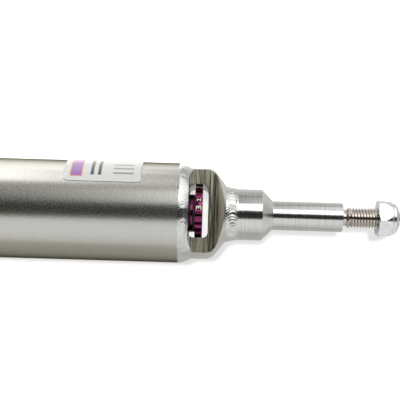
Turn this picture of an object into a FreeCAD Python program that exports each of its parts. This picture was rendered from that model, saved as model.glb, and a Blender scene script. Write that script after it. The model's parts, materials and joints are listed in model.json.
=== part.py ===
import FreeCAD, Part

import os
import re

import Sketcher

# Frame: millimetres, X along the damper's axis from the rod towards the stud, Z square to the fitting's
# flats, origin at the middle of the plain mounting pin.
DIMS = {
    # Fits: pieces fixed together, pieces that turn or slide, and loose pieces.
    "fit_gap": 0.02,
    "running_gap": 0.05,
    "loose_gap": 0.3,
    # Mounting pin, its stud and its neck.
    "pin_diameter": 14.5,
    "pin_length": 35,
    "pin_bevel": 0.6,
    "stud_diameter": 10,
    "stud_length": 28.5,
    "stud_relief_length": 1.8,
    "stud_relief_diameter": 7.8,
    "stud_pitch": 1.5,
    "stud_thread_depth": 0.92,
    "stud_bevel": 0.9,
    "neck_diameter": 25.5,
    "neck_length": 17.9,
    "spigot_diameter": 16,
    "spigot_length": 5,
    # Lower fitting.
    "nose_diameter": 27.8,
    "dome_length": 6.8,
    "dome_round": 6.5,
    "barrel_length": 17.05,
    "plug_depth": 12,
    "plug_bevel": 1,
    "flat_thickness": 18,
    "flat_setback": 5.25,
    "flat_runout_start": 16.25,
    "flat_runout_radius": 7,
    "flat_corner_round": 1,
    "slot_land": 0.2,
    "slot_width": 9.55,
    "slot_length": 26.6,
    "slot_corner_round": 2.5,
    # Weld beads.
    "tube_weld_width": 5.25,
    "pin_weld_width": 6.1,
    "pin_weld_height": 1.15,
    # Lock nut.
    "lock_nut_across": 17,
    "lock_nut_start": 35.2,
    "lock_nut_height": 10,
    "lock_nut_hexagon": 6.8,
    "lock_nut_bevel": 1,
    "lock_nut_collar": 16.2,
    "lock_nut_lip": 0.6,
    "lock_nut_seat_diameter": 12,
    "lock_nut_turn_angle": 44.6,
    # Adjuster.
    "dial_gap": 0.7,
    "dial_diameter": 26.2,
    "dial_rim_width": 3.7,
    "dial_collar_diameter": 19,
    "dial_collar_width": 1.2,
    "dial_neck_diameter": 14,
    "dial_neck_width": 1.1,
    "dial_bevel": 0.3,
    "dial_scallop_count": 14,
    "dial_scallop_diameter": 8,
    "dial_scallop_depth": 0.65,
    "spindle_diameter": 6,
    "spindle_recess": 0.3,
    "spindle_thread_diameter": 5,
    "spindle_thread_reach": 6,
    "spindle_thread_length": 4.5,
    "set_screw_diameter": 2.5,
    "set_screw_length": 5,
    "set_screw_socket": 1.3,
    "o_ring_section": 1.6,
    "o_ring_groove_width": 2.2,
    "o_ring_setback": 5,
    "circlip_diameter": 9,
    "circlip_seat_diameter": 4.8,
    "circlip_width": 0.8,
    "circlip_opening": 2.4,
    "ball_diameter": 2,
    "detent_offset": 7,
    "detent_depth": 8,
    "detent_wire": 0.4,
    "detent_pitch": 0.9,
    # Base valve and needle.
    "valve_length": 17,
    "valve_wall": 6,
    "valve_spigot_length": 12,
    "valve_foot_diameter": 42,
    "valve_port_count": 6,
    "valve_port_diameter": 4,
    "valve_port_radius": 12,
    "valve_slot_width": 6,
    "valve_slot_depth": 4,
    "valve_bolt_diameter": 8,
    "valve_bolt_head": 15,
    "valve_bolt_head_height": 4,
    "valve_bolt_bore": 4,
    "shim_stack": 0.9,
    "valve_shim_diameter": 30,
    "needle_diameter": 10,
    "needle_body": 6,
    "needle_tip": 5,
    "needle_root_diameter": 3.2,
    "needle_end_diameter": 1.2,
    "needle_gap": 2.5,
    "needle_hole_depth": 4.5,
    # Tubes.
    "tube_diameter": 50,
    "tube_wall": 2.2,
    "tube_length": 265,
    "perch_thread_start": 5,
    "perch_thread_length": 150,
    "perch_thread_pitch": 2.5,
    "perch_thread_depth": 0.6,
    "pressure_tube_diameter": 38,
    "pressure_tube_wall": 1.5,
    # Rod end of the tube.
    "cap_flange": 6,
    "cap_spigot": 10,
    "cap_bore": 15,
    "cap_hole_count": 4,
    "cap_hole_diameter": 5,
    "cap_hole_depth": 4,
    "cap_hole_radius": 18,
    "cap_bevel": 0.8,
    "wiper_diameter": 22,
    "wiper_depth": 3.2,
    "wiper_lip": 1,
    "seal_diameter": 30,
    "seal_length": 7,
    "guide_length": 18,
    "guide_spigot": 8,
    "bush_diameter": 17,
    "guide_ring_section": 2.5,
    "guide_ring_setback": 7,
    "guide_ring_groove": 3.2,
    # Rod and piston.
    "rod_diameter": 14,
    "rod_stroke": 120,
    "rebound_gap": 0.5,
    "rebound_stop_length": 10,
    "rebound_stop_diameter": 30,
    "piston_stud_diameter": 10,
    "piston_stud_over": 1,
    "washer_diameter": 27,
    "washer_thickness": 3,
    "piston_shim_diameter": 24,
    "piston_length": 14,
    "piston_band_width": 9,
    "piston_band_depth": 1.2,
    "piston_port_count": 8,
    "piston_port_diameter": 3,
    "piston_port_radius": 9.5,
    "piston_nut_across": 17,
    "piston_nut_height": 8,
    "piston_nut_bevel": 0.8,
    "seat_stud_diameter": 12,
    "seat_nut_across": 19,
    "seat_nut_height": 10,
    "seat_nut_bevel": 1,
    "upper_pin_diameter": 10,
    "upper_pin_length": 20,
    "upper_thread_length": 18,
    "upper_socket_across": 5,
    "upper_socket_depth": 6,
    # Spring and its seats.
    "bump_gap": 1.5,
    "bump_length": 36,
    "bump_diameter": 42,
    "bump_tip_diameter": 30,
    "bump_waist_depth": 4,
    "spring_wire": 11,
    "spring_inside": 64,
    "spring_length": 200,
    "spring_turns": 7,
    "spring_guide_gap": 0.5,
    "seat_diameter": 88,
    "seat_thickness": 6,
    "seat_spigot": 8,
    "seat_bevel": 1,
    "slip_ring_diameter": 86,
    "slip_ring_thickness": 3,
    "slip_ring_lip": 4,
    "collar_length": 26,
    "collar_flange": 6,
    "collar_flange_diameter": 86,
    "collar_body_diameter": 66,
    "collar_bevel": 1,
    "collar_notch_count": 8,
    "collar_notch_width": 7,
    "collar_notch_depth": 3,
    "collar_notch_length": 9,
    "lock_screw_diameter": 6,
    "lock_screw_length": 6,
    "lock_screw_socket": 3,
    # Label.
    "label_start": 17.75,
    "label_length": 37.8,
    "label_thickness": 0.12,
    "label_span_angle": 93.6,
    "label_turn_angle": -29,
    "label_corner_round": 2,
}

# Stations along X, and other sizes that follow from the ones above.
PLACES = {
    "pin_shoulder": "-pin_length / 2",
    "neck_front": "pin_shoulder - (neck_diameter - pin_diameter) / 2",
    "nose_face": "neck_front - neck_length",
    "tube_foot": "nose_face - dome_length - barrel_length",
    "plug_face": "tube_foot - plug_depth",
    "slot_wall": "tube_foot + flat_setback + slot_land",
    "dial_back": "slot_wall + dial_gap",
    "dial_width": "dial_collar_width + dial_neck_width + dial_rim_width",
    "tube_bore": "tube_diameter - 2 * tube_wall",
    "plug_diameter": "tube_bore - 2 * fit_gap",
    "fitting_length": "plug_depth + barrel_length + dome_length",
    "cylinder_bore": "pressure_tube_diameter - 2 * pressure_tube_wall",
    "cylinder_spigot": "cylinder_bore - 2 * fit_gap",
    "valve_face": "plug_face - valve_length",
    "pressure_tube_foot": "valve_face + valve_spigot_length",
    "needle_shoulder": "valve_face + valve_wall + needle_gap",
    "spindle_end": "plug_face - spindle_thread_reach",
    "circlip_place": "plug_face - circlip_width - 2 * running_gap",
    "tube_top": "tube_foot - tube_length",
    "cap_face": "tube_top - cap_flange",
    "guide_face": "tube_top + cap_spigot",
    "pressure_tube_top": "guide_face + guide_length",
    "guide_end": "pressure_tube_top + guide_spigot",
    "rebound_stop_top": "guide_end + rebound_gap",
    "rod_shoulder": "rebound_stop_top + rebound_stop_length",
    "rebound_shim_top": "rod_shoulder + washer_thickness",
    "piston_top": "rebound_shim_top + shim_stack",
    "compression_shim_top": "piston_top + piston_length",
    "piston_nut_top": "compression_shim_top + shim_stack",
    "rod_end": "piston_nut_top + piston_nut_height + piston_stud_over",
    "seat_floor": "cap_face - bump_gap - rod_stroke - bump_length",
    "seat_top": "seat_floor - seat_thickness",
    "seat_nut_top": "seat_top - seat_nut_height",
    "upper_pin_top": "seat_nut_top - upper_pin_length",
    "rod_top": "upper_pin_top - upper_thread_length",
    "spring_foot": "seat_floor + spring_length",
    "spring_middle": "spring_inside / 2 + spring_wire / 2",
    "spring_guide": "spring_inside / 2 - spring_guide_gap",
    "collar_top": "spring_foot + slip_ring_thickness",
}

AXIS = FreeCAD.Vector(1, 0, 0)
doc = FreeCAD.newDocument("coilover")
sheet = doc.addObject("Spreadsheet::Sheet", "dims")
for row, (name, size) in enumerate(DIMS.items(), start=1):
    sheet.set(f"A{row}", name)
    sheet.set(f"B{row}", str(size))
    sheet.setAlias(f"B{row}", name)
doc.recompute()
places = doc.addObject("App::VarSet", "places")
nodes = []


def bound(text):
    """The expression with each size's name written as a reference to its cell or place."""
    def refer(match):
        word = match.group()
        if word in DIMS:
            return "dims." + word
        return "places." + word if word in PLACES else word
    return re.sub(r"[a-z]\w*", refer, str(text))


def number(text):
    return float(places.evalExpression(bound(text)))


for name, text in PLACES.items():
    places.addProperty("App::PropertyFloat", name, "places", "")
    places.setExpression(name, bound(text))
    doc.recompute()


def bind(item, **sizes):
    for prop, text in sizes.items():
        item.setExpression(prop.replace("__", "."), bound(text))


def stand(item, x, turn=0, y=None, z=None):
    """Place a piece along the axis, turned about it, or out from it."""
    item.Placement = FreeCAD.Placement(FreeCAD.Vector(), FreeCAD.Rotation(AXIS, number(turn)))
    bind(item, Placement__Base__x=x)
    if y is not None:
        bind(item, Placement__Base__y=y)
    if z is not None:
        bind(item, Placement__Base__z=z)


def node(label, item):
    item.Label = label
    nodes.append((label, item))
    return item


def body_at(label, x, turn=0):
    body = doc.addObject("PartDesign::Body", label)
    stand(body, x, turn)
    return node(label, body)


def datum(body, role):
    return next(item for item in body.Origin.OriginFeatures if item.Role == role)


def sketch_on(body, role, offset=None):
    sketch = body.newObject("Sketcher::SketchObject", "outline")
    sketch.AttachmentSupport = [(datum(body, role), "")]
    sketch.MapMode = "FlatFace"
    if offset is not None:
        bind(sketch, AttachmentOffset__Base__z=offset)
        doc.recompute()
    return sketch


def pin_point(sketch, item, point, across, up):
    """Hold a point of a sketch at two bound coordinates."""
    for kind, axis, text in (("DistanceX", -2, across), ("DistanceY", -1, up)):
        size = number(text)
        if abs(size) < 1e-9:
            sketch.addConstraint(Sketcher.Constraint("PointOnObject", item, point, axis))
        else:
            held = sketch.addConstraint(Sketcher.Constraint(kind, -1, 1, item, point, size))
            sketch.setExpression(f"Constraints[{held}]", bound(text))


def draw_loop(sketch, corners, rounds=None):
    """A closed outline; rounds holds the radii of its rounded square corners by their number."""
    path = []
    for i, (across, up) in enumerate(corners):
        radius = (rounds or {}).get(i)
        if radius is None:
            path.append((across, up, None))
            continue
        ways = []
        for far_across, far_up in (corners[i - 1], corners[(i + 1) % len(corners)]):
            way = FreeCAD.Vector(number(far_across) - number(across), number(far_up) - number(up), 0)
            ways.append(way.normalize())
        both = ways[0] + ways[1]
        centre = (f"({across}) + {round(both.x)} * ({radius})", f"({up}) + {round(both.y)} * ({radius})")
        for way, middle in zip(ways, (centre, None)):
            path.append((f"({across}) + {round(way.x)} * ({radius})", f"({up}) + {round(way.y)} * ({radius})",
                         middle))
    spots = [FreeCAD.Vector(number(across), number(up), 0) for across, up, _ in path]
    sides = []
    for i, (across, up, centre) in enumerate(path):
        start, end = spots[i], spots[(i + 1) % len(spots)]
        if centre is None:
            sides.append((sketch.addGeometry(Part.LineSegment(start, end), False), 1, 2))
            continue
        middle = FreeCAD.Vector(number(centre[0]), number(centre[1]), 0)
        forwards = (start - middle).cross(end - middle).z > 0
        circle = Part.Circle(middle, FreeCAD.Vector(0, 0, 1), (start - middle).Length)
        ends = (start, end) if forwards else (end, start)
        arc = sketch.addGeometry(Part.ArcOfCircle(circle, *(circle.parameter(spot) for spot in ends)), False)
        held = sketch.addConstraint(Sketcher.Constraint("DistanceX", -1, 1, arc, 3, middle.x))
        sketch.setExpression(f"Constraints[{held}]", bound(centre[0]))
        sides.append((arc, 1, 2) if forwards else (arc, 2, 1))
    for i, (side, _, last) in enumerate(sides):
        following, first, _ = sides[(i + 1) % len(sides)]
        sketch.addConstraint(Sketcher.Constraint("Coincident", side, last, following, first))
    for (side, first, _), (across, up, _) in zip(sides, path):
        pin_point(sketch, side, first, across, up)


def draw_circle(sketch, across, up, diameter):
    middle = FreeCAD.Vector(number(across), number(up), 0)
    ring = sketch.addGeometry(Part.Circle(middle, FreeCAD.Vector(0, 0, 1), number(diameter) / 2), False)
    pin_point(sketch, ring, 3, across, up)
    held = sketch.addConstraint(Sketcher.Constraint("Diameter", ring, number(diameter)))
    sketch.setExpression(f"Constraints[{held}]", bound(diameter))


def feature(body, kind, profile, **sizes):
    made = body.newObject("PartDesign::" + kind, kind.lower())
    made.Profile = profile
    if kind in ("Revolution", "Groove"):
        made.ReferenceAxis = (datum(body, "X_Axis"), [""])
    bind(made, **sizes)
    return made


def turned(label, x, corners, turn=0, **sizes):
    """A turned piece: corners are distances along the axis from x, and radii."""
    body = body_at(label, x, turn)
    sketch = sketch_on(body, "XY_Plane")
    draw_loop(sketch, corners)
    feature(body, "Revolution", sketch, **sizes)
    doc.recompute()
    return body


def tube(label, x, length, inside, outside):
    inner, outer = f"({inside}) / 2", f"({outside}) / 2"
    return turned(label, x, [("0", inner), ("0", outer), (length, outer), (length, inner)])


def turn_away(body, corners):
    sketch = sketch_on(body, "XY_Plane")
    draw_loop(sketch, corners)
    cut = feature(body, "Groove", sketch)
    doc.recompute()
    return cut


def pocket(body, sketch, depth, symmetric=False, backwards=False):
    cut = feature(body, "Pocket", sketch, Length=depth)
    cut.SideType = "Symmetric" if symmetric else "One side"
    cut.Reversed = backwards
    doc.recompute()
    return cut


def repeat_round(body, cut, count):
    pattern = body.newObject("PartDesign::PolarPattern", "round")
    pattern.Originals = [cut]
    pattern.Axis = (datum(body, "X_Axis"), [""])
    pattern.Angle = 360
    bind(pattern, Occurrences=count)
    body.Tip = pattern
    doc.recompute()


def repeat_along(body, cut, pitch, count):
    pattern = body.newObject("PartDesign::LinearPattern", "along")
    pattern.Originals = [cut]
    pattern.Direction = (datum(body, "X_Axis"), [""])
    pattern.Mode = "Spacing"
    bind(pattern, Offset=pitch, Occurrences=count)
    body.Tip = pattern
    doc.recompute()


def dress(body, kind, edges, size):
    names = [f"Edge{i}" for i, edge in enumerate(body.Tip.Shape.Edges, start=1) if edges(edge)]
    made = body.newObject("PartDesign::" + kind, kind.lower())
    made.Base = (body.Tip.BaseFeature if body.Tip == made else body.Tip, names)
    bind(made, **{"Size" if kind == "Chamfer" else "Radius": size})
    body.Tip = made
    doc.recompute()


def rims(*spots):
    """Picks the full circles about the axis at the given distances and radii."""
    wanted = [(number(along), number(radius)) for along, radius in spots]

    def test(edge):
        if not isinstance(edge.Curve, Part.Circle):
            return False
        centre = edge.Curve.Center
        return any(abs(centre.x - along) < 1e-4 and abs(edge.Curve.Radius - radius) < 1e-4
                   and abs(centre.y) + abs(centre.z) < 1e-4 for along, radius in wanted)
    return test


def bevel(body, size, *spots):
    dress(body, "Chamfer", rims(*spots), size)


def soften(body, radius, *spots):
    dress(body, "Fillet", rims(*spots), radius)


def ring_thread(body, start, radius, pitch, depth, count):
    """A thread as a row of rings."""
    half = f"{pitch} * 0.42"
    over = f"({radius}) + 0.08 * {depth}"
    cut = turn_away(body, [(f"{start}", f"({radius}) - {depth}"), (f"({start}) + {half}", over),
                           (f"({start}) - {half}", over)])
    repeat_along(body, cut, pitch, count)


def hexagon(across):
    radius = f"({across}) / 2 / cos(30 deg)"
    return [(f"{radius} * cos({step} deg)", f"{radius} * sin({step} deg)") for step in range(0, 360, 60)]


def hex_nut(label, x, across, height, bore, rise, turn=0):
    """A hexagon nut, bevelled at its left end."""
    body = body_at(label, x, turn)
    sketch = sketch_on(body, "YZ_Plane")
    draw_loop(sketch, hexagon(across))
    feature(body, "Pad", sketch, Length=height)
    turn_away(body, [("0", f"{across} * 0.475"), ("0", f"{across} * 0.6"),
                     (rise, f"{across} * 0.6"), (rise, f"{across} / 2 / cos(30 deg)")])
    sketch = sketch_on(body, "YZ_Plane")
    draw_circle(sketch, "0", "0", bore)
    pocket(body, sketch, f"2 * ({height})", symmetric=True)
    return body


def socket(body, role, offset, across, depth, backwards=False):
    sketch = sketch_on(body, role, offset)
    draw_loop(sketch, hexagon(across))
    pocket(body, sketch, depth, backwards=backwards)


def o_ring(label, x, middle, section):
    ring = doc.addObject("Part::Torus", label)
    bind(ring, Radius1=middle, Radius2=f"({section}) / 2")
    ring.Placement = FreeCAD.Placement(FreeCAD.Vector(), FreeCAD.Rotation(FreeCAD.Vector(0, 1, 0), 90))
    bind(ring, Placement__Base__x=f"({x})")
    return node(label, ring)


def coil(label, x, length, pitch, radius, wire, y="0"):
    """A coil spring with its two ends ground flat."""
    helix = doc.addObject("Part::Helix", "helix")
    bind(helix, Pitch=pitch, Height=f"({length}) + {pitch}", Radius=radius,
         Placement__Base__z=f"-({pitch}) / 2")
    section = doc.addObject("Part::Circle", "section")
    bind(section, Radius=f"({wire}) / 2")
    section.Placement = FreeCAD.Placement(FreeCAD.Vector(), FreeCAD.Rotation(AXIS, 90))
    bind(section, Placement__Base__x=radius, Placement__Base__z=f"-({pitch}) / 2")
    sweep = doc.addObject("Part::Sweep", "sweep")
    sweep.Sections = [section]
    sweep.Spine = (helix, ["Edge1"])
    sweep.Solid = True
    sweep.Frenet = True
    slab = doc.addObject("Part::Cylinder", "slab")
    bind(slab, Radius=f"({radius}) + {wire}", Height=length)
    spring = doc.addObject("Part::Common", label)
    spring.Base = sweep
    spring.Tool = slab
    spring.Placement = FreeCAD.Placement(FreeCAD.Vector(), FreeCAD.Rotation(FreeCAD.Vector(0, 1, 0), 90))
    bind(spring, Placement__Base__x=x, Placement__Base__y=y)
    return node(label, spring)


def grub_screw(label, length, diameter, across):
    """A socket screw standing along Z, its socket downwards."""
    body = doc.addObject("PartDesign::Body", label)
    sketch = sketch_on(body, "XY_Plane")
    draw_circle(sketch, "0", "0", diameter)
    feature(body, "Pad", sketch, Length=length)
    sketch = sketch_on(body, "XY_Plane")
    draw_loop(sketch, hexagon(across))
    pocket(body, sketch, f"({length}) / 2", backwards=True)
    return node(label, body)


# Mounting pin: spigot, neck, cone, plain pin and threaded stud.
cone_start = "spigot_length + neck_length"
pin_start = f"{cone_start} + (neck_diameter - pin_diameter) / 2"
pin_end = f"{pin_start} + pin_length"
relief_end = f"{pin_end} + stud_relief_length"
stud_end = f"{pin_end} + stud_length"
pin = turned("lower_pin", "nose_face - spigot_length", [
    ("0", "0"), ("0", "spigot_diameter / 2"), ("spigot_length", "spigot_diameter / 2"),
    ("spigot_length", "neck_diameter / 2"), (cone_start, "neck_diameter / 2"),
    (pin_start, "pin_diameter / 2"), (pin_end, "pin_diameter / 2"),
    (pin_end, "stud_relief_diameter / 2"), (relief_end, "stud_relief_diameter / 2"),
    (relief_end, "stud_diameter / 2"), (stud_end, "stud_diameter / 2"), (stud_end, "0")])
bevel(pin, "pin_bevel", (pin_end, "pin_diameter / 2"))
bevel(pin, "stud_bevel", (stud_end, "stud_diameter / 2"))
ring_thread(pin, f"{relief_end} + stud_pitch / 2", "stud_diameter / 2", "stud_pitch", "stud_thread_depth",
            "floor((stud_length - stud_relief_length - stud_bevel) / stud_pitch)")

# Lower fitting: turned, then milled flat on two sides and slotted.
dome_start = "fitting_length - dome_length"
fitting = turned("lower_fitting", "plug_face", [
    ("0", "0"), ("0", "plug_diameter / 2"), (dome_start, "plug_diameter / 2"),
    ("fitting_length", "nose_diameter / 2"), ("fitting_length", "0")])
soften(fitting, "dome_round", (dome_start, "plug_diameter / 2"))
bevel(fitting, "plug_bevel", ("0", "plug_diameter / 2"))

flat_wall = "plug_depth + flat_setback"
runout = "plug_depth + flat_runout_start"
face = "flat_thickness / 2"
flat = sketch_on(fitting, "XZ_Plane")
runout_end = f"{runout} + flat_runout_radius"
draw_loop(flat, [(flat_wall, face), (runout_end, face), (runout_end, "tube_diameter"),
                 (flat_wall, "tube_diameter")], {0: "flat_corner_round", 1: "flat_runout_radius"})
milled = pocket(fitting, flat, "2 * tube_diameter", symmetric=True)
mirror = fitting.newObject("PartDesign::Mirrored", "mirrored")
mirror.Originals = [milled]
mirror.MirrorPlane = (datum(fitting, "XY_Plane"), [""])
fitting.Tip = mirror
doc.recompute()

slot_start = "plug_depth + flat_setback + slot_land"
slot_end = f"{slot_start} + slot_width"
slot = sketch_on(fitting, "XY_Plane")
draw_loop(slot, [(slot_start, "-slot_length / 2"), (slot_end, "-slot_length / 2"),
                 (slot_end, "slot_length / 2"), (slot_start, "slot_length / 2")],
          {corner: "slot_corner_round" for corner in range(4)})
pocket(fitting, slot, "2 * tube_diameter", symmetric=True)

bore = "spindle_diameter / 2 + running_gap"
ring_seat = f"{bore} + o_ring_section"
turn_away(fitting, [("0", "0"), ("0", bore), ("o_ring_setback", bore), ("o_ring_setback", ring_seat),
                    ("o_ring_setback + o_ring_groove_width", ring_seat),
                    ("o_ring_setback + o_ring_groove_width", bore),
                    (f"{slot_start} + 1", bore), (f"{slot_start} + 1", "0")])
spigot_seat = "fitting_length - spigot_length"
turn_away(fitting, [(spigot_seat, "0"), (spigot_seat, "spigot_diameter / 2 + fit_gap"),
                    ("fitting_length", "spigot_diameter / 2 + fit_gap"), ("fitting_length", "0")])
detent = sketch_on(fitting, "YZ_Plane", slot_start)
draw_circle(detent, "detent_offset", "0", "ball_diameter + 2 * running_gap")
pocket(fitting, detent, "detent_depth")

# Weld beads.
turned("tube_weld", "tube_foot", [
    ("0", "plug_diameter / 2"), ("0", "tube_diameter / 2"), ("tube_weld_width * 0.1", "tube_diameter / 2"),
    ("tube_weld_width * 0.84", "plug_diameter / 2 + 0.3"), ("tube_weld_width", "plug_diameter / 2")])
turned("pin_weld", "nose_face", [
    ("0", "neck_diameter / 2"), ("0", "neck_diameter / 2 + pin_weld_height"),
    ("pin_weld_width * 0.23", "neck_diameter / 2 + pin_weld_height * 0.68"),
    ("pin_weld_width * 0.47", "neck_diameter / 2 + pin_weld_height * 0.34"),
    ("pin_weld_width * 0.74", "neck_diameter / 2 + pin_weld_height * 0.18"),
    ("pin_weld_width", "neck_diameter / 2")])

# Lock nut: hexagon below, domed collar with a plastic ring above.
nut_bore = "stud_diameter + 2 * running_gap"
nut = hex_nut("lock_nut", "lock_nut_start", "lock_nut_across", "lock_nut_height", nut_bore,
              "lock_nut_bevel", "lock_nut_turn_angle")
outside = "lock_nut_across * 0.6"
turn_away(nut, [
    ("lock_nut_hexagon - lock_nut_bevel", "lock_nut_across / 2 / cos(30 deg)"),
    ("lock_nut_hexagon", "lock_nut_across * 0.475"), ("lock_nut_hexagon", "lock_nut_collar / 2"),
    ("lock_nut_height * 0.8", "lock_nut_collar / 2 - 0.15"),
    ("lock_nut_height * 0.9", "lock_nut_collar / 2 - 0.5"),
    ("lock_nut_height * 0.96", "lock_nut_collar / 2 - 1.2"),
    ("lock_nut_height", "lock_nut_collar / 2 - 2.1"),
    ("lock_nut_height", outside), ("lock_nut_hexagon - lock_nut_bevel", outside)])
insert_start = "lock_nut_hexagon - 0.6"
insert_end = "lock_nut_height - lock_nut_lip"
insert_radius = "lock_nut_seat_diameter / 2"
turn_away(nut, [(insert_start, "0"), (insert_start, insert_radius), (insert_end, insert_radius),
                (insert_end, f"{insert_radius} - 0.5"), ("lock_nut_height", f"{insert_radius} - 0.5"),
                ("lock_nut_height", "0")])
tube("lock_nut_insert", f"lock_nut_start + {insert_start}", f"{insert_end} - ({insert_start})", nut_bore,
     "lock_nut_seat_diameter - 2 * fit_gap")

# Adjuster: dial, spindle, seal, click and needle.
rim_start = "dial_collar_width + dial_neck_width"
dial_bore = "spindle_diameter / 2 + fit_gap"
dial = turned("adjuster_dial", "dial_back", [
    ("0", dial_bore), ("0", "dial_collar_diameter / 2"), ("dial_collar_width", "dial_collar_diameter / 2"),
    ("dial_collar_width", "dial_neck_diameter / 2"), (rim_start, "dial_neck_diameter / 2"),
    (rim_start, "dial_diameter / 2"), ("dial_width", "dial_diameter / 2"), ("dial_width", dial_bore)])
bevel(dial, "dial_bevel", (rim_start, "dial_diameter / 2"), ("dial_width", "dial_diameter / 2"))
scallop = sketch_on(dial, "YZ_Plane", "dial_width")
draw_circle(scallop, "0", "dial_diameter / 2 - dial_scallop_depth + dial_scallop_diameter / 2",
            "dial_scallop_diameter")
repeat_round(dial, pocket(dial, scallop, "dial_rim_width"), "dial_scallop_count")
screw_hole = sketch_on(dial, "XY_Plane")
draw_circle(screw_hole, f"{rim_start} + dial_rim_width / 2", "0", "set_screw_diameter + 2 * fit_gap")
pocket(dial, screw_hole, "dial_diameter")
set_screw = grub_screw("dial_set_screw", "set_screw_length", "set_screw_diameter", "set_screw_socket")
stand(set_screw, f"dial_back + {rim_start} + dial_rim_width / 2",
      z="-spindle_diameter / 2 - fit_gap - set_screw_length")

spindle_length = "dial_back + dial_width - spindle_recess - spindle_end"
spindle = turned("adjuster_spindle", "spindle_end", [
    ("0", "0"), ("0", "spindle_thread_diameter / 2 - running_gap"),
    ("spindle_thread_length", "spindle_thread_diameter / 2 - running_gap"),
    ("spindle_thread_length", "spindle_diameter / 2"),
    (spindle_length, "spindle_diameter / 2"), (spindle_length, "0")])
clip_start = "circlip_place - spindle_end - fit_gap"
clip_end = f"{clip_start} + circlip_width + 2 * fit_gap"
turn_away(spindle, [(clip_start, "circlip_seat_diameter / 2"), (clip_end, "circlip_seat_diameter / 2"),
                    (clip_end, "spindle_diameter"), (clip_start, "spindle_diameter")])
circlip = tube("spindle_circlip", "circlip_place", "circlip_width", "circlip_seat_diameter + 2 * fit_gap",
               "circlip_diameter")
opening = sketch_on(circlip, "YZ_Plane")
draw_loop(opening, [("-circlip_opening / 2", "0"), ("circlip_opening / 2", "0"),
                    ("circlip_opening / 2", "circlip_diameter"),
                    ("-circlip_opening / 2", "circlip_diameter")])
pocket(circlip, opening, "3 * circlip_width", symmetric=True)
o_ring("spindle_o_ring", "plug_face + o_ring_setback + o_ring_groove_width / 2",
       "spindle_diameter / 2 + running_gap + o_ring_section / 2", "o_ring_section - running_gap")

ball = node("detent_ball", doc.addObject("Part::Sphere", "detent_ball"))
bind(ball, Radius="ball_diameter / 2")
ball_middle = "dial_back - running_gap - ball_diameter / 2"
stand(ball, ball_middle, y="detent_offset")
detent_start = "slot_wall - detent_depth"
coil("detent_spring", detent_start, f"{ball_middle} - ball_diameter / 2 - ({detent_start})", "detent_pitch",
     "ball_diameter / 2 - detent_wire / 2 - fit_gap", "detent_wire", "detent_offset")

needle_foot = "needle_tip + needle_body"
turned("metering_needle", "needle_shoulder - needle_tip", [
    ("0", "0"), ("0", "needle_end_diameter / 2"), ("needle_tip", "needle_root_diameter / 2"),
    ("needle_tip", "needle_diameter / 2"), (needle_foot, "needle_diameter / 2"),
    (needle_foot, "spindle_thread_diameter / 2"),
    (f"{needle_foot} - needle_hole_depth", "spindle_thread_diameter / 2"),
    (f"{needle_foot} - needle_hole_depth", "0")])

# Base valve.
bolt_seat = "valve_bolt_diameter / 2 + fit_gap"
needle_bore = "needle_diameter / 2 + running_gap"
valve = turned("base_valve_body", "valve_face", [
    ("0", bolt_seat), ("0", "cylinder_spigot / 2"), ("valve_spigot_length", "cylinder_spigot / 2"),
    ("valve_spigot_length", "valve_foot_diameter / 2"), ("valve_length", "valve_foot_diameter / 2"),
    ("valve_length", needle_bore), ("valve_wall", needle_bore), ("valve_wall", bolt_seat)])
port = sketch_on(valve, "YZ_Plane", "valve_length")
draw_circle(port, "0", "valve_port_radius", "valve_port_diameter")
repeat_round(valve, pocket(valve, port, "2 * valve_length"), "valve_port_count")
passage = sketch_on(valve, "YZ_Plane", "valve_length")
draw_loop(passage, [("-valve_slot_width / 2", "valve_port_radius - valve_slot_width / 2"),
                    ("valve_slot_width / 2", "valve_port_radius - valve_slot_width / 2"),
                    ("valve_slot_width / 2", "tube_diameter"), ("-valve_slot_width / 2", "tube_diameter")])
repeat_round(valve, pocket(valve, passage, "valve_slot_depth"), "valve_port_count")

bolt_end = "valve_bolt_head_height + shim_stack + valve_wall"
turned("base_valve_bolt", "valve_face - shim_stack - valve_bolt_head_height", [
    ("0", "valve_bolt_bore / 2"), ("0", "valve_bolt_head / 2"),
    ("valve_bolt_head_height", "valve_bolt_head / 2"), ("valve_bolt_head_height", "valve_bolt_diameter / 2"),
    (bolt_end, "valve_bolt_diameter / 2"), (bolt_end, "valve_bolt_bore / 2")])


def shim_pack(label, x, inner, outer, large_end_right):
    """Three thin discs of falling size, the largest against the ports it covers."""
    sizes = [0.7, 0.85, 1] if large_end_right else [1, 0.85, 0.7]
    corners = [("0", inner)]
    for step, share in enumerate(sizes):
        corners.append((f"shim_stack * {step} / 3", f"({outer}) / 2 * {share}"))
        corners.append((f"shim_stack * {step + 1} / 3", f"({outer}) / 2 * {share}"))
    turned(label, x, corners + [("shim_stack", inner)])


shim_pack("base_valve_shims", "valve_face - shim_stack", bolt_seat, "valve_shim_diameter", True)

# Tubes.
outer_tube = tube("damper_tube", "tube_top", "tube_length", "tube_bore", "tube_diameter")
ring_thread(outer_tube, "perch_thread_start", "tube_diameter / 2", "perch_thread_pitch", "perch_thread_depth",
            "floor(perch_thread_length / perch_thread_pitch)")
tube("pressure_tube", "pressure_tube_top", "pressure_tube_foot - pressure_tube_top", "cylinder_bore",
     "pressure_tube_diameter")

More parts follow.
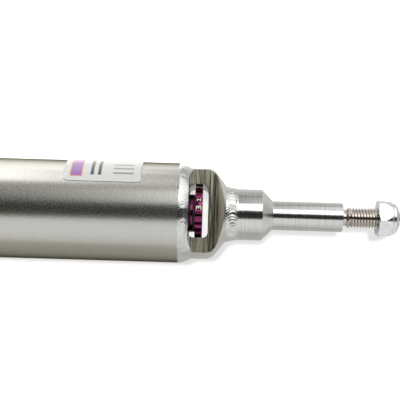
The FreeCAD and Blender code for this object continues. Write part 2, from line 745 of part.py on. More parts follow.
# Rod end of the tube: cap, wiper, seal and guide.
cap_length = "cap_flange + cap_spigot"
seal_seat = f"{cap_length} - seal_length"
cap = turned("tube_cap", "cap_face", [
    ("0", "wiper_diameter / 2"), ("0", "tube_diameter / 2"), ("cap_flange", "tube_diameter / 2"),
    ("cap_flange", "plug_diameter / 2"), (cap_length, "plug_diameter / 2"), (cap_length, "seal_diameter / 2"),
    (seal_seat, "seal_diameter / 2"), (seal_seat, "cap_bore / 2"), ("wiper_depth", "cap_bore / 2"),
    ("wiper_depth", "wiper_diameter / 2")])
bevel(cap, "cap_bevel", ("0", "tube_diameter / 2"))
spanner_hole = sketch_on(cap, "YZ_Plane")
draw_circle(spanner_hole, "0", "cap_hole_radius", "cap_hole_diameter")
repeat_round(cap, pocket(cap, spanner_hole, "cap_hole_depth", backwards=True), "cap_hole_count")

rod_bore = "rod_diameter / 2 + running_gap"
turned("rod_wiper", "cap_face - wiper_lip", [
    ("0", rod_bore), ("0", f"{rod_bore} + 1"), ("wiper_lip", "wiper_diameter / 2 - 1.5"),
    ("wiper_lip", "wiper_diameter / 2 - fit_gap"),
    ("wiper_lip + wiper_depth", "wiper_diameter / 2 - fit_gap"), ("wiper_lip + wiper_depth", rod_bore)])
turned("rod_seal", "guide_face - seal_length", [
    ("0", f"{rod_bore} + 2"), ("0", "seal_diameter / 2 - fit_gap"),
    ("seal_length", "seal_diameter / 2 - fit_gap"), ("seal_length", f"{rod_bore} + 4"),
    ("seal_length * 0.6", f"{rod_bore} + 2.5"), ("seal_length * 0.75", rod_bore),
    ("seal_length * 0.25", rod_bore)])

guide_total = "guide_length + guide_spigot"
guide = turned("rod_guide", "guide_face", [
    ("0", "bush_diameter / 2"), ("0", "plug_diameter / 2"), ("guide_length", "plug_diameter / 2"),
    ("guide_length", "cylinder_spigot / 2"), (guide_total, "cylinder_spigot / 2"),
    (guide_total, "bush_diameter / 2")])
groove_floor = "tube_bore / 2 - guide_ring_section"
groove_end = "guide_ring_setback + guide_ring_groove"
turn_away(guide, [("guide_ring_setback", groove_floor), (groove_end, groove_floor),
                  (groove_end, "tube_diameter"), ("guide_ring_setback", "tube_diameter")])
o_ring("guide_o_ring", "guide_face + guide_ring_setback + guide_ring_groove / 2",
       "tube_bore / 2 - guide_ring_section / 2", "guide_ring_section - running_gap")
tube("guide_bush", "guide_face + 1", f"{guide_total} - 2", "rod_diameter + 2 * running_gap",
     "bush_diameter - 2 * fit_gap")

# Rod: threaded top end, plain pin, seat stud, rod and piston stud.
pin_top = "upper_thread_length"
stud_top = f"{pin_top} + upper_pin_length"
seat_shoulder = "seat_floor - rod_top"
piston_shoulder = "rod_shoulder - rod_top"
rod = turned("piston_rod", "rod_top", [
    ("0", "0"), ("0", "upper_pin_diameter / 2"), (stud_top, "upper_pin_diameter / 2"),
    (stud_top, "seat_stud_diameter / 2"), (seat_shoulder, "seat_stud_diameter / 2"),
    (seat_shoulder, "rod_diameter / 2"), (piston_shoulder, "rod_diameter / 2"),
    (piston_shoulder, "piston_stud_diameter / 2"), ("rod_end - rod_top", "piston_stud_diameter / 2"),
    ("rod_end - rod_top", "0")])
bevel(rod, "stud_bevel", ("0", "upper_pin_diameter / 2"), ("rod_end - rod_top", "piston_stud_diameter / 2"))
ring_thread(rod, "stud_bevel + stud_pitch / 2", "upper_pin_diameter / 2", "stud_pitch", "stud_thread_depth",
            "floor((upper_thread_length - stud_bevel) / stud_pitch)")
socket(rod, "YZ_Plane", "0", "upper_socket_across", "upper_socket_depth", backwards=True)

on_rod = "rod_diameter + 2 * fit_gap"
on_stud = "piston_stud_diameter + 2 * fit_gap"
tube("rebound_stop", "rebound_stop_top", "rebound_stop_length", on_rod, "rebound_stop_diameter")
tube("backing_washer", "rod_shoulder", "washer_thickness", on_stud, "washer_diameter")
shim_pack("rebound_shims", "rebound_shim_top", f"({on_stud}) / 2", "piston_shim_diameter", True)
shim_pack("compression_shims", "compression_shim_top", f"({on_stud}) / 2", "piston_shim_diameter", False)
piston_radius = "cylinder_bore / 2 - loose_gap"
band_floor = f"{piston_radius} - piston_band_depth"
band_start = "(piston_length - piston_band_width) / 2"
band_end = "(piston_length + piston_band_width) / 2"
piston = turned("piston", "piston_top", [
    ("0", f"({on_stud}) / 2"), ("0", piston_radius), (band_start, piston_radius), (band_start, band_floor),
    (band_end, band_floor), (band_end, piston_radius), ("piston_length", piston_radius),
    ("piston_length", f"({on_stud}) / 2")])
piston_port = sketch_on(piston, "YZ_Plane", "piston_length")
draw_circle(piston_port, "0", "piston_port_radius", "piston_port_diameter")
repeat_round(piston, pocket(piston, piston_port, "2 * piston_length"), "piston_port_count")
tube("piston_band", f"piston_top + {band_start} + fit_gap", "piston_band_width - 2 * fit_gap",
     f"2 * ({band_floor} + fit_gap)", "cylinder_bore - 2 * running_gap")
hex_nut("piston_nut", "piston_nut_top", "piston_nut_across", "piston_nut_height", on_stud,
        "piston_nut_bevel")

# Spring, its seats and the bump stop.
seat_end = "seat_thickness + seat_spigot"
bump_seat = "bump_diameter / 2 + fit_gap"
seat_bore = "seat_stud_diameter / 2 + fit_gap"
seat = turned("upper_spring_seat", "seat_top", [
    ("0", seat_bore), ("0", "seat_diameter / 2"), ("seat_thickness", "seat_diameter / 2"),
    ("seat_thickness", "spring_guide"), (seat_end, "spring_guide"), (seat_end, bump_seat),
    ("seat_thickness", bump_seat), ("seat_thickness", seat_bore)])
bevel(seat, "seat_bevel", ("0", "seat_diameter / 2"), (seat_end, "spring_guide"))
hex_nut("seat_nut", "seat_nut_top", "seat_nut_across", "seat_nut_height", "seat_stud_diameter + 2 * fit_gap",
        "seat_nut_bevel")

bump_bore = "rod_diameter / 2 + loose_gap"
bump_radius = "bump_diameter / 2"
waist = f"{bump_radius} - bump_waist_depth"
bump = turned("bump_stop", "seat_floor", [
    ("0", bump_bore), ("0", bump_radius), ("bump_length * 0.3", bump_radius), ("bump_length * 0.4", waist),
    ("bump_length * 0.5", f"{bump_radius} - 1.5"), ("bump_length * 0.62", f"{bump_radius} - 1.5"),
    ("bump_length * 0.72", f"{waist} - 1"), ("bump_length * 0.82", f"{waist} + 0.5"),
    ("bump_length", "bump_tip_diameter / 2"), ("bump_length", bump_bore)])
soften(bump, "1.5", ("bump_length * 0.4", waist), ("bump_length * 0.72", f"{waist} - 1"),
       ("bump_length * 0.5", f"{bump_radius} - 1.5"), ("bump_length * 0.62", f"{bump_radius} - 1.5"),
       ("bump_length * 0.3", bump_radius), ("bump_length * 0.82", f"{waist} + 0.5"),
       ("bump_length", "bump_tip_diameter / 2"))

coil("coil_spring", "seat_floor", "spring_length", "spring_length / spring_turns", "spring_middle",
     "spring_wire")

slip_end = "slip_ring_lip + slip_ring_thickness"
slip_bore = "tube_diameter / 2 + loose_gap"
slip_ring = turned("spring_slip_ring", "spring_foot - slip_ring_lip", [
    ("0", slip_bore), ("0", "spring_guide"), ("slip_ring_lip", "spring_guide"),
    ("slip_ring_lip", "slip_ring_diameter / 2"), (slip_end, "slip_ring_diameter / 2"), (slip_end, slip_bore)])
bevel(slip_ring, "seat_bevel", ("0", "spring_guide"))

collar_bore = "tube_diameter / 2 + running_gap"
collar = turned("perch_collar", "collar_top", [
    ("0", collar_bore), ("0", "collar_flange_diameter / 2"), ("collar_flange", "collar_flange_diameter / 2"),
    ("collar_flange", "collar_body_diameter / 2"), ("collar_length", "collar_body_diameter / 2"),
    ("collar_length", collar_bore)])
bevel(collar, "collar_bevel", ("0", "collar_flange_diameter / 2"),
      ("collar_flange", "collar_flange_diameter / 2"), ("collar_length", "collar_body_diameter / 2"))
notch = sketch_on(collar, "YZ_Plane", "collar_length")
notch_floor = "collar_body_diameter / 2 - collar_notch_depth"
draw_loop(notch, [("-collar_notch_width / 2", notch_floor), ("collar_notch_width / 2", notch_floor),
                  ("collar_notch_width / 2", "collar_body_diameter"),
                  ("-collar_notch_width / 2", "collar_body_diameter")])
repeat_round(collar, pocket(collar, notch, "collar_notch_length"), "collar_notch_count")
lock_place = "collar_flange + (collar_length - collar_flange - collar_notch_length) / 2"
lock_hole = sketch_on(collar, "XY_Plane")
draw_circle(lock_hole, lock_place, "0", "lock_screw_diameter + 2 * fit_gap")
pocket(collar, lock_hole, "collar_body_diameter")
lock_screw = grub_screw("perch_lock_screw", "lock_screw_length", "lock_screw_diameter", "lock_screw_socket")
stand(lock_screw, f"collar_top + {lock_place}", z=f"-({collar_bore}) - loose_gap - lock_screw_length")

# Label on the tube.
film = "tube_diameter / 2 + fit_gap"
label = turned("label", "tube_foot - label_start - label_length", [
    ("0", film), ("0", f"{film} + label_thickness"), ("label_length", f"{film} + label_thickness"),
    ("label_length", film)], "label_turn_angle", Angle="label_span_angle")
dress(label, "Fillet", lambda edge: edge.Length < 2 * number("label_thickness"), "label_corner_round")

doc.recompute()
faults = []
for item in doc.Objects:
    if any(state in ("Invalid", "Error") for state in item.State):
        faults.append(f"{item.Label}: {item.State}")
for label, item in nodes:
    if item.Shape.isNull() or not item.Shape.isValid() or len(item.Shape.Solids) != 1:
        faults.append(f"{label}: shape")
if faults:
    raise RuntimeError("\n".join(faults))

os.makedirs("parts", exist_ok=True)
for label, item in nodes:
    item.Shape.exportStep(f"parts/{label}.step")
    print(label, round(item.Shape.Volume, 2), item.Shape.BoundBox)
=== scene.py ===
"""A coilover damper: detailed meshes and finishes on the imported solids, with studio light and a camera."""
import json
import math

import bmesh
import bpy
import numpy as np
from mathutils import Matrix, Vector


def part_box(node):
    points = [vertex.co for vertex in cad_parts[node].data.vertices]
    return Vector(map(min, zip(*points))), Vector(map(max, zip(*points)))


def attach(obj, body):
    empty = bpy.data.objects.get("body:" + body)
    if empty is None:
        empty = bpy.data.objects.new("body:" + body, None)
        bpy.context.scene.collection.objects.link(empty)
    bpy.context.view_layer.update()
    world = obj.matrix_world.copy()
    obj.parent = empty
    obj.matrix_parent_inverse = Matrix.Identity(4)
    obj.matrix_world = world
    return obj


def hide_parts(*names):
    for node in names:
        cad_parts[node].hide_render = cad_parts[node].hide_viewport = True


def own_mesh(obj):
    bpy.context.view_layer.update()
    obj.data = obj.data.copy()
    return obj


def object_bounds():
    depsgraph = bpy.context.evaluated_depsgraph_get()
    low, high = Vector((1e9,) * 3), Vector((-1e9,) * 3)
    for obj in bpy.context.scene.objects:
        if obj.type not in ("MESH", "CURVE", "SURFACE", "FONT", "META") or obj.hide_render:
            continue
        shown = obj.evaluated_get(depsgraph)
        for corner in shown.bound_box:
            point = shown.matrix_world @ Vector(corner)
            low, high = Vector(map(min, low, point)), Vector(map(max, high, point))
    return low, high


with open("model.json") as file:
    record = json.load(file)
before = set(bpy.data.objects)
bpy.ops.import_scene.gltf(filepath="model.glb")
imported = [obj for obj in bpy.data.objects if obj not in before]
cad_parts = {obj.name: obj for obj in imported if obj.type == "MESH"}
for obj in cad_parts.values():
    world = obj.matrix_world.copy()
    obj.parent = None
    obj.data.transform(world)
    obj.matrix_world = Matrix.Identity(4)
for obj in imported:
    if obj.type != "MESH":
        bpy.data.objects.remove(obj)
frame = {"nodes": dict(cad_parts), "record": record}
cad_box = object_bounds()
nodes = frame["nodes"]
scene = bpy.context.scene

MM = 0.001
COLUMNS = 192
FINE_COLUMNS = 256
EDGE = 0.25 * MM
SOFT_EDGE = 0.4 * MM
HALF_EDGE = 0.5 * MM
WIDE_EDGE = 1 * MM
EDGE_STEPS = 6
ROUND_STEPS = 8
CUTTER_OVERRUN = 1 * MM
SHARP_ANGLE = math.radians(40)
BEVEL_ANGLE = math.radians(30)
MERGE_DISTANCE = 1e-7


def extent(node):
    """Start, end, inner radius and outer radius of a node about the X axis."""
    points = np.array([vertex.co for vertex in nodes[node].data.vertices])
    radii = np.hypot(points[:, 1], points[:, 2])
    return points[:, 0].min(), points[:, 0].max(), radii.min(), radii.max()


# Shapes round the X axis. Columns start at +Z and turn towards -Y, so that a climbing helix is right-hand.

def turns(columns):
    return np.linspace(0, 2 * math.pi, columns, endpoint=False)


def rounded(corners, size=EDGE, steps=4, loop=False):
    """A profile with rounded corners. A corner may give a radius of its own as a third number."""
    path = []
    for place, corner in enumerate(corners):
        here = Vector(corner[:2])
        radius = corner[2] if len(corner) > 2 else size
        if radius == 0 or not loop and place in (0, len(corners) - 1):
            path.append(tuple(here))
            continue
        before = Vector(corners[place - 1][:2]) - here
        after = Vector(corners[(place + 1) % len(corners)][:2]) - here
        half = before.angle(after) / 2
        reach = min(radius / math.tan(half), 0.48 * before.length, 0.48 * after.length)
        before.normalize()
        after.normalize()
        middle = here + (before + after).normalized() * (reach / math.cos(half))
        first = here + before * reach - middle
        last = here + after * reach - middle
        bend = math.pi - 2 * half
        for step in range(steps + 1):
            share = step / steps
            arm = first * math.sin((1 - share) * bend) + last * math.sin(share * bend)
            path.append(tuple(middle + arm / math.sin(bend)))
    return path


def quads(here, beside):
    """Faces between rows of point numbers and the numbers one column on."""
    return np.stack([here[:-1], beside[:-1], beside[1:], here[1:]], axis=-1).reshape(-1, 4)


def surface(x, radius, seam=0, loop=False):
    """Points and faces round the axis: rows along the profile, columns round it. With a seam, the last column
    meets the first that many rows further on, as in a helix."""
    rows, columns = radius.shape
    turn = turns(columns)
    along = np.broadcast_to(x, radius.shape)
    points = np.stack([along, -radius * np.sin(turn), radius * np.cos(turn)], axis=-1)
    here = np.arange(rows * columns).reshape(rows, columns)
    beside = np.roll(here, -1, axis=1)
    if seam:
        beside[:, -1] = np.append(here[seam:, 0], np.full(seam, -1))
    if loop:
        here = np.vstack([here, here[:1]])
        beside = np.vstack([beside, beside[:1]])
    faces = quads(here, beside)
    return points.reshape(-1, 3), faces[(faces >= 0).all(axis=1)]


def lathe(profile, columns=COLUMNS, loop=False):
    """A turned surface. A distance or a radius may be one number or one for each column."""
    x, radius = (np.stack([np.broadcast_to(row[place], columns) for row in profile]) for place in (0, 1))
    return surface(x, radius, loop=loop)


def thread(start, end, radius, pitch, depth, bevel=0.0):
    """A right-hand V thread that fades in over one pitch and ends in a bevel, or fades out if there is none.
    One pitch is a narrow crest, a flank, a root and a flank."""
    shares = np.array([0, 0.125, 0.4375, 0.6875])
    depths = np.array([0, 0, 1, 1])
    count = math.ceil((end - start) / pitch) + 2
    rows = (np.arange(count)[:, None] + shares).ravel() - 1
    x = np.clip(start + pitch * (rows[:, None] + turns(COLUMNS) / (2 * math.pi)), start, end)
    fade = np.clip((x - start) / pitch, 0, 1)
    if not bevel:
        fade = np.minimum(fade, np.clip((end - x) / pitch, 0, 1))
    deep = radius - depth * np.tile(depths, count)[:, None] * fade
    if bevel:
        deep = np.minimum(deep, radius - np.maximum(0, bevel - (end - x)))
    return surface(x, deep, seam=len(shares))


def hexagon(across, columns, turn, sharpness=70):
    """Radius of a hexagon with softened corners at each column. One of its flats faces the turn."""
    sides = turn + math.radians(60) * np.arange(6)[:, None]
    reach = np.maximum(0, np.cos(turns(columns) - sides)) ** sharpness
    return across / 2 / reach.sum(axis=0) ** (1 / sharpness)


def smaller(first, second, sharpness=70):
    """The smaller of two radii, with the edge between them softened."""
    low = np.minimum(first, second)
    return low * ((first / low) ** -sharpness + (second / low) ** -sharpness) ** (-1 / sharpness)


def mesh_of(points, faces):
    mesh = bpy.data.meshes.new("shape")
    mesh.from_pydata(points, [], faces)
    return mesh


def joined(*parts):
    """One smooth mesh from several surfaces, merged where their points meet."""
    offset = 0
    points, faces = [], []
    for some_points, some_faces in parts:
        points.extend(some_points.tolist())
        faces.extend((some_faces + offset).tolist())
        offset += len(some_points)
    return cleaned(mesh_of(points, faces))


def smoothed(mesh):
    mesh.shade_smooth()
    mesh.set_sharp_from_angle(angle=SHARP_ANGLE)
    return mesh


def cleaned(mesh):
    """The mesh with meeting points merged, its normals outward and its sharp edges marked."""
    made = bmesh.new()
    made.from_mesh(mesh)
    bmesh.ops.remove_doubles(made, verts=made.verts, dist=MERGE_DISTANCE)
    bmesh.ops.dissolve_degenerate(made, edges=made.edges, dist=MERGE_DISTANCE)
    bmesh.ops.recalc_face_normals(made, faces=made.faces)
    made.to_mesh(mesh)
    made.free()
    return smoothed(mesh)


def turned_mesh(corners, size=EDGE, steps=4, columns=COLUMNS):
    """A mesh turned from a closed profile with rounded corners."""
    return joined(lathe(rounded(corners, size, steps, loop=True), columns, loop=True))


def prism(outline, axis, low, high):
    """A solid with an outline in the other two axes, from low to high along one."""
    count = len(outline)
    points = np.insert(np.tile(outline, (2, 1)), axis, np.repeat((low, high), count), axis=1)
    here = np.arange(2 * count).reshape(2, count)
    sides = quads(here, np.roll(here, -1, axis=1))
    return cleaned(mesh_of(points.tolist(), sides.tolist() + here.tolist()))


def circle(middle, radius, count=48):
    across, up = middle
    return [(across + radius * math.cos(turn), up + radius * math.sin(turn)) for turn in turns(count)]


def added(name, data):
    """A new object in the scene."""
    item = bpy.data.objects.new(name, data)
    scene.collection.objects.link(item)
    return item


def baked(item):
    """The object's mesh as its modifiers leave it."""
    return bpy.data.meshes.new_from_object(item.evaluated_get(bpy.context.evaluated_depsgraph_get()))


def carved(mesh, cutters, bevel, segments=2):
    """The mesh with the cutters taken away and its new edges broken."""
    blank = added("blank", mesh)
    tools = [added("tool", cutter) for cutter in cutters]
    for tool in tools:
        cut = blank.modifiers.new("cut", "BOOLEAN")
        cut.object = tool
        cut.operation = "DIFFERENCE"
        cut.solver = "EXACT"
    edge = blank.modifiers.new("edge", "BEVEL")
    edge.width = bevel
    edge.segments = segments
    edge.limit_method = "ANGLE"
    edge.angle_limit = BEVEL_ANGLE
    edge.use_clamp_overlap = False
    result = baked(blank)
    for item in [blank, *tools]:
        bpy.data.objects.remove(item)
    return smoothed(result)


# Finishes.

class Nodes:
    """Shorthand for a node tree."""

    def __init__(self, tree):
        self.tree = tree

    def add(self, kind, *inputs, **settings):
        node = self.tree.nodes.new("ShaderNode" + kind)
        for name, value in settings.items():
            setattr(node, name, value)
        for socket, value in zip(node.inputs, inputs):
            self.feed(socket, value)
        return node

    def feed(self, socket, value):
        if isinstance(value, bpy.types.NodeSocket):
            self.tree.links.new(value, socket)
        elif socket.type == "RGBA":
            socket.default_value = (*value, 1.0)
        elif value is not None:
            socket.default_value = value

    def math(self, operation, *inputs):
        return self.add("Math", *inputs, operation=operation).outputs[0]

    def times(self, first, second):
        return self.math("MULTIPLY", first, second)

    def most(self, *values):
        """The largest of the values."""
        largest = values[0]
        for value in values[1:]:
            largest = self.math("MAXIMUM", largest, value)
        return largest

    def ease(self, value, start, end, low=0.0, high=1.0):
        """Goes smoothly from low to high while the value goes from start to end."""
        return self.add("MapRange", value, start, end, low, high, interpolation_type="SMOOTHSTEP").outputs[0]

    def between(self, share, low, high):
        """Goes evenly from low to high with the share."""
        return self.add("MapRange", share, 0.0, 1.0, low, high).outputs[0]

    def band(self, value, start, end, soft):
        """1 between the start and the end and 0 outside, with soft edges."""
        rise = self.ease(value, start - soft, start + soft)
        return self.times(rise, self.ease(value, end + soft, end - soft))

    def noise(self, place, stretch, detail=3.0, roughness=0.55):
        scaled = self.add("VectorMath", place, stretch, operation="MULTIPLY").outputs[0]
        return self.add("TexNoise", scaled, None, 1.0, detail, roughness).outputs[0]

    def mix(self, share, first, second):
        node = self.add("Mix", data_type="RGBA")
        for socket, value in ((0, share), (6, first), (7, second)):
            self.feed(node.inputs[socket], value)
        return node.outputs[2]


class Finish(Nodes):
    """A procedural material, with its pattern fixed to the object."""

    def __init__(self, name, **inputs):
        self.name = name
        self.material = bpy.data.materials.new(name)
        self.material.use_nodes = True
        super().__init__(self.material.node_tree)
        self.shader = self.tree.nodes["Principled BSDF"]
        self.place = self.add("TexCoord").outputs["Object"]
        self.normal = None
        self.set(**inputs)

    def set(self, **inputs):
        for name, value in inputs.items():
            self.feed(self.shader.inputs[name.replace("_", " ").title()], value)

    def pattern(self, *stretch, **settings):
        return self.noise(self.place, stretch, **settings)

    def even(self, stretch, **settings):
        return self.pattern(stretch, stretch, stretch, **settings)

    def vary(self, pattern, value, part):
        """The value, more or less by a part of it with the pattern."""
        return self.ease(pattern, *PATTERN_RANGE, value * (1 - part), value * (1 + part))

    def bump(self, height, depth):
        """Adds relief of a depth in metres."""
        node = self.add("Bump", 1.0, depth)
        self.feed(node.inputs["Height"], height)
        if self.normal:
            self.feed(node.inputs["Normal"], self.normal)
        self.normal = node.outputs[0]
        self.set(normal=self.normal)


# Noise lies mostly between these values. The stretch of a pattern is in repeats to the metre.
PATTERN_RANGE = (0.3, 0.7)
RING_RANGE = (0.35, 0.65)
RING_STRETCH = 12


def turned_metal(name, dark, light, roughness, ring=0.35 * MM, relief=0.0006 * MM, grain=0.5 * MM, share=0.5,
                 **inputs):
    """Metal with fine rings round the axis from the lathe or grinder, and a slight grain. The share is the
    rings' part in the colour."""
    finish = Finish(name, metallic=1.0, **inputs)
    rings = finish.pattern(1 / ring, RING_STRETCH, RING_STRETCH, detail=4.0, roughness=0.7)
    specks = finish.even(1 / grain, detail=2.0)
    shade = finish.math("ADD", finish.times(rings, share), finish.times(specks, 1 - share))
    finish.set(base_color=finish.mix(finish.ease(shade, *RING_RANGE), dark, light))
    finish.set(roughness=finish.vary(rings, roughness, 0.15))
    finish.bump(rings, relief)
    return finish


def grained(name, dark, light, roughness, grain, relief, cloud, part, **inputs):
    """A cloudy colour and a fine grain, which varies the roughness by a part of it."""
    finish = Finish(name, **inputs)
    specks = finish.even(1 / grain, detail=3.0)
    shade = finish.ease(finish.even(cloud, detail=2.0), *PATTERN_RANGE)
    finish.set(base_color=finish.mix(shade, dark, light))
    finish.set(roughness=finish.vary(specks, roughness, part))
    finish.bump(specks, relief)
    return finish


def plain_metal(name, dark, light, roughness, grain=0.6 * MM, relief=0.001 * MM):
    """Plated, drawn or sintered metal."""
    return grained(name, dark, light, roughness, grain, relief, 120, 0.2, metallic=1.0)


def moulded(name, dark, light, roughness, grain=0.5 * MM, relief=0.004 * MM, **inputs):
    """Rubber, plastic or paint."""
    return grained(name, dark, light, roughness, grain, relief, 90, 0.15, **inputs)


GRINDING_RING = 1.2 * MM
GRINDING_STRETCH = 10
FINE_GRAIN = 0.8 * MM
FINE_GRAIN_RELIEF = 0.004 * MM
SATIN_GRAIN = 1.3 * MM
SATIN_GRAIN_RELIEF = 0.014 * MM


def ground_steel():
    """Ground round the tube, so that reflections spread along it, with a fine satin grain."""
    finish = Finish("ground_steel", metallic=1.0, anisotropic=0.4, anisotropic_rotation=0.25,
                    specular_tint=(0.12, 0.11, 0.08))
    finish.set(tangent=finish.add("Tangent", direction_type="RADIAL", axis="X").outputs[0])
    rings = finish.pattern(1 / GRINDING_RING, GRINDING_STRETCH, GRINDING_STRETCH, detail=3.0)
    specks = finish.even(1 / FINE_GRAIN, detail=3.0)
    shade = finish.ease(rings, *PATTERN_RANGE)
    finish.set(base_color=finish.mix(shade, (0.535, 0.53, 0.505), (0.547, 0.542, 0.517)))
    finish.set(roughness=finish.ease(specks, *PATTERN_RANGE, 0.26, 0.30))
    finish.bump(specks, FINE_GRAIN_RELIEF)
    finish.bump(finish.even(1 / SATIN_GRAIN, detail=0.0), SATIN_GRAIN_RELIEF)
    return finish


# Where the fitting's normal points, on its flats and on their run-out.
FLAT_UPRIGHT = (0.6, 0.95)
RUNOUT_UPRIGHT = (0.3, 0.45)
RUNOUT_ALONG = (-0.68, -0.84)
CUTTER_MARK = 0.5 * MM
CUTTER_SHARE = 0.7
MARK_RANGE = (0.4, 0.6)
RING_RELIEF = 0.0008 * MM
MARK_RELIEF = 0.012 * MM


def fitting_steel():
    """Turned all over, with milling marks along Y on the two flats, rougher where the flats run out and
    painted lighter and warmer there as a sheen.
    """
    finish = Finish("fitting_steel", metallic=1.0)
    along, _, up = finish.add("SeparateXYZ", finish.add("NewGeometry").outputs["Normal"]).outputs
    upright = finish.math("ABSOLUTE", up)
    flat = finish.ease(upright, *FLAT_UPRIGHT)
    runout = finish.times(finish.ease(along, *RUNOUT_ALONG), finish.ease(upright, *RUNOUT_UPRIGHT))
    rings = finish.pattern(1 / (0.35 * MM), RING_STRETCH, RING_STRETCH, detail=4.0)
    cuts = finish.pattern(1 / CUTTER_MARK, 60, 60, detail=4.0, roughness=0.65)
    broad = finish.pattern(320, 20, 20, detail=2.0)
    marks = finish.math("ADD", finish.times(cuts, CUTTER_SHARE), finish.times(broad, 1 - CUTTER_SHARE))
    shade = finish.ease(marks, *MARK_RANGE)
    turned_colour = finish.mix(rings, (0.58, 0.57, 0.54), (0.72, 0.71, 0.68))
    milled_colour = finish.mix(shade, (0.09, 0.086, 0.06), (0.50, 0.49, 0.385))
    colour = finish.mix(flat, turned_colour, milled_colour)
    # Painted sheen: the run-out is coloured lighter and warmer than the turned body, with the milling marks
    # running through it.
    runout_marks_and_sheen = finish.mix(shade, (0.66, 0.65, 0.54), (0.97, 0.96, 0.80))
    finish.set(base_color=finish.mix(runout, colour, runout_marks_and_sheen))
    roughness = finish.ease(flat, 0, 1, 0.24, 0.34)
    finish.set(roughness=finish.between(runout, roughness, 0.55))
    finish.bump(finish.times(rings, finish.math("SUBTRACT", 1.0, flat)), RING_RELIEF)
    finish.bump(finish.times(marks, flat), MARK_RELIEF)
    return finish


BROWNED_FROM = (17.5 * MM, 18 * MM)


def turned_steel():
    """Bright and fine-turned, browned past the pin's end, on the thread."""
    finish = turned_metal("turned_steel", (0.55, 0.555, 0.535), (0.655, 0.66, 0.64), 0.15,
                          ring=0.8 * MM, share=1.0)
    along = finish.add("SeparateXYZ", finish.place).outputs[0]
    browned = finish.ease(along, *BROWNED_FROM)
    bright = finish.shader.inputs["Base Color"].links[0].from_socket
    finish.set(base_color=finish.mix(browned, bright, (0.56, 0.525, 0.485)))
    return finish


GOLD_INK = (0.85, 0.42, 0.06)
PURPLE_INK = (0.33, 0.16, 0.48)
BLACK_INK = (0.06, 0.06, 0.07)
GREY_INK = (0.30, 0.30, 0.31)
INK_EDGE = 0.12
FILM_RELIEF = 0.002 * MM


def label_film():
    """White film with a plain print: a purple band edged in gold, two black bars and three grey ones."""
    finish = Finish("label_film", roughness=0.28, coat_weight=0.4, coat_roughness=0.12)
    along, across, _ = finish.add("SeparateXYZ", finish.add("UVMap", uv_map="print").outputs[0]).outputs
    colour = finish.mix(finish.even(400), (0.68, 0.68, 0.67), (0.74, 0.74, 0.73))
    # Start and end along the tube and round it, in millimetres from the label's corner.
    blocks = [(3.0, 9.2, 2.6, 38.0, GOLD_INK), (3.5, 8.7, 3.1, 37.5, PURPLE_INK),
              (13.0, 14.6, 4.0, 30.0, BLACK_INK), (16.6, 18.2, 4.0, 24.0, BLACK_INK)]
    blocks += [(24.0, 34.0, start, start + 1.2, GREY_INK) for start in (5.0, 8.6, 12.2)]
    for x_start, x_end, y_start, y_end, ink in blocks:
        mask = finish.times(finish.band(along, x_start, x_end, INK_EDGE),
                            finish.band(across, y_start, y_end, INK_EDGE))
        colour = finish.mix(mask, colour, ink)
    finish.set(base_color=colour)
    finish.bump(finish.even(1500), FILM_RELIEF)
    return finish


finishes = {finish.name: finish.material for finish in (
    ground_steel(), fitting_steel(), turned_steel(), label_film(),
    plain_metal("weld_steel", (0.60, 0.60, 0.585), (0.70, 0.70, 0.69), 0.17, grain=1.1 * MM,
                relief=0.09 * MM),
    turned_metal("purple_aluminium", (0.15, 0.012, 0.07), (0.24, 0.021, 0.115), 0.14, ring=0.3 * MM,
                 grain=0.4 * MM, coat_weight=0.5, coat_roughness=0.06),
    moulded("spring_paint", (0.055, 0.058, 0.064), (0.085, 0.09, 0.10), 0.3, grain=1.3 * MM,
            relief=0.02 * MM, coat_weight=0.6, coat_roughness=0.12),
    moulded("bump_foam", (0.50, 0.36, 0.12), (0.66, 0.50, 0.20), 0.8, grain=0.8 * MM, relief=0.08 * MM),
    plain_metal("zinc_steel", (0.74, 0.75, 0.77), (0.86, 0.87, 0.89), 0.17),
    moulded("nylon", (0.72, 0.72, 0.68), (0.80, 0.80, 0.76), 0.45),
    plain_metal("dark_steel", (0.05, 0.05, 0.055), (0.09, 0.09, 0.095), 0.4),
    turned_metal("spindle_steel", (0.60, 0.60, 0.59), (0.74, 0.74, 0.73), 0.2),
    moulded("seal_rubber", (0.014, 0.014, 0.015), (0.026, 0.026, 0.027), 0.5),
    turned_metal("brass", (0.62, 0.44, 0.18), (0.75, 0.56, 0.28), 0.22),
    turned_metal("plain_aluminium", (0.66, 0.66, 0.67), (0.78, 0.78, 0.79), 0.25),
    plain_metal("shim_steel", (0.48, 0.49, 0.51), (0.60, 0.61, 0.63), 0.22),
    plain_metal("drawn_steel", (0.44, 0.44, 0.44), (0.56, 0.56, 0.56), 0.3),
    plain_metal("sintered_iron", (0.17, 0.17, 0.17), (0.26, 0.26, 0.26), 0.5, relief=0.01 * MM),
    moulded("band_plastic", (0.08, 0.13, 0.11), (0.12, 0.18, 0.16), 0.4),
    moulded("black_steel", (0.018, 0.018, 0.019), (0.032, 0.032, 0.033), 0.38, relief=0.012 * MM),
    turned_metal("chrome_rod", (0.66, 0.66, 0.66), (0.74, 0.74, 0.74), 0.07, relief=0.0002 * MM),
    turned_metal("black_aluminium", (0.036, 0.036, 0.039), (0.058, 0.058, 0.063), 0.3,
                 relief=0.002 * MM),
    moulded("slip_plastic", (0.022, 0.022, 0.023), (0.036, 0.036, 0.037), 0.45),
    moulded("numeral_paint", (0.78, 0.70, 0.56), (0.86, 0.79, 0.66), 0.5),
)}
for subpart in frame["record"]["subparts"]:
    mesh = nodes[subpart["node"]].data
    mesh.materials.clear()
    mesh.materials.append(finishes[subpart["material_slot"]])


def place(name, mesh, body, slot, *replaced, finish=None):
    """A piece that rides on a body, in a material slot, and shows in place of the nodes it replaces."""
    mesh.name = name
    piece = added(name, mesh)
    mesh.materials.clear()
    mesh.materials.append(finishes[finish or slot])
    weight = piece.modifiers.new("normals", "WEIGHTED_NORMAL")
    weight.keep_sharp = True
    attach(piece, body)
    if replaced:
        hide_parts(*replaced)
    return piece


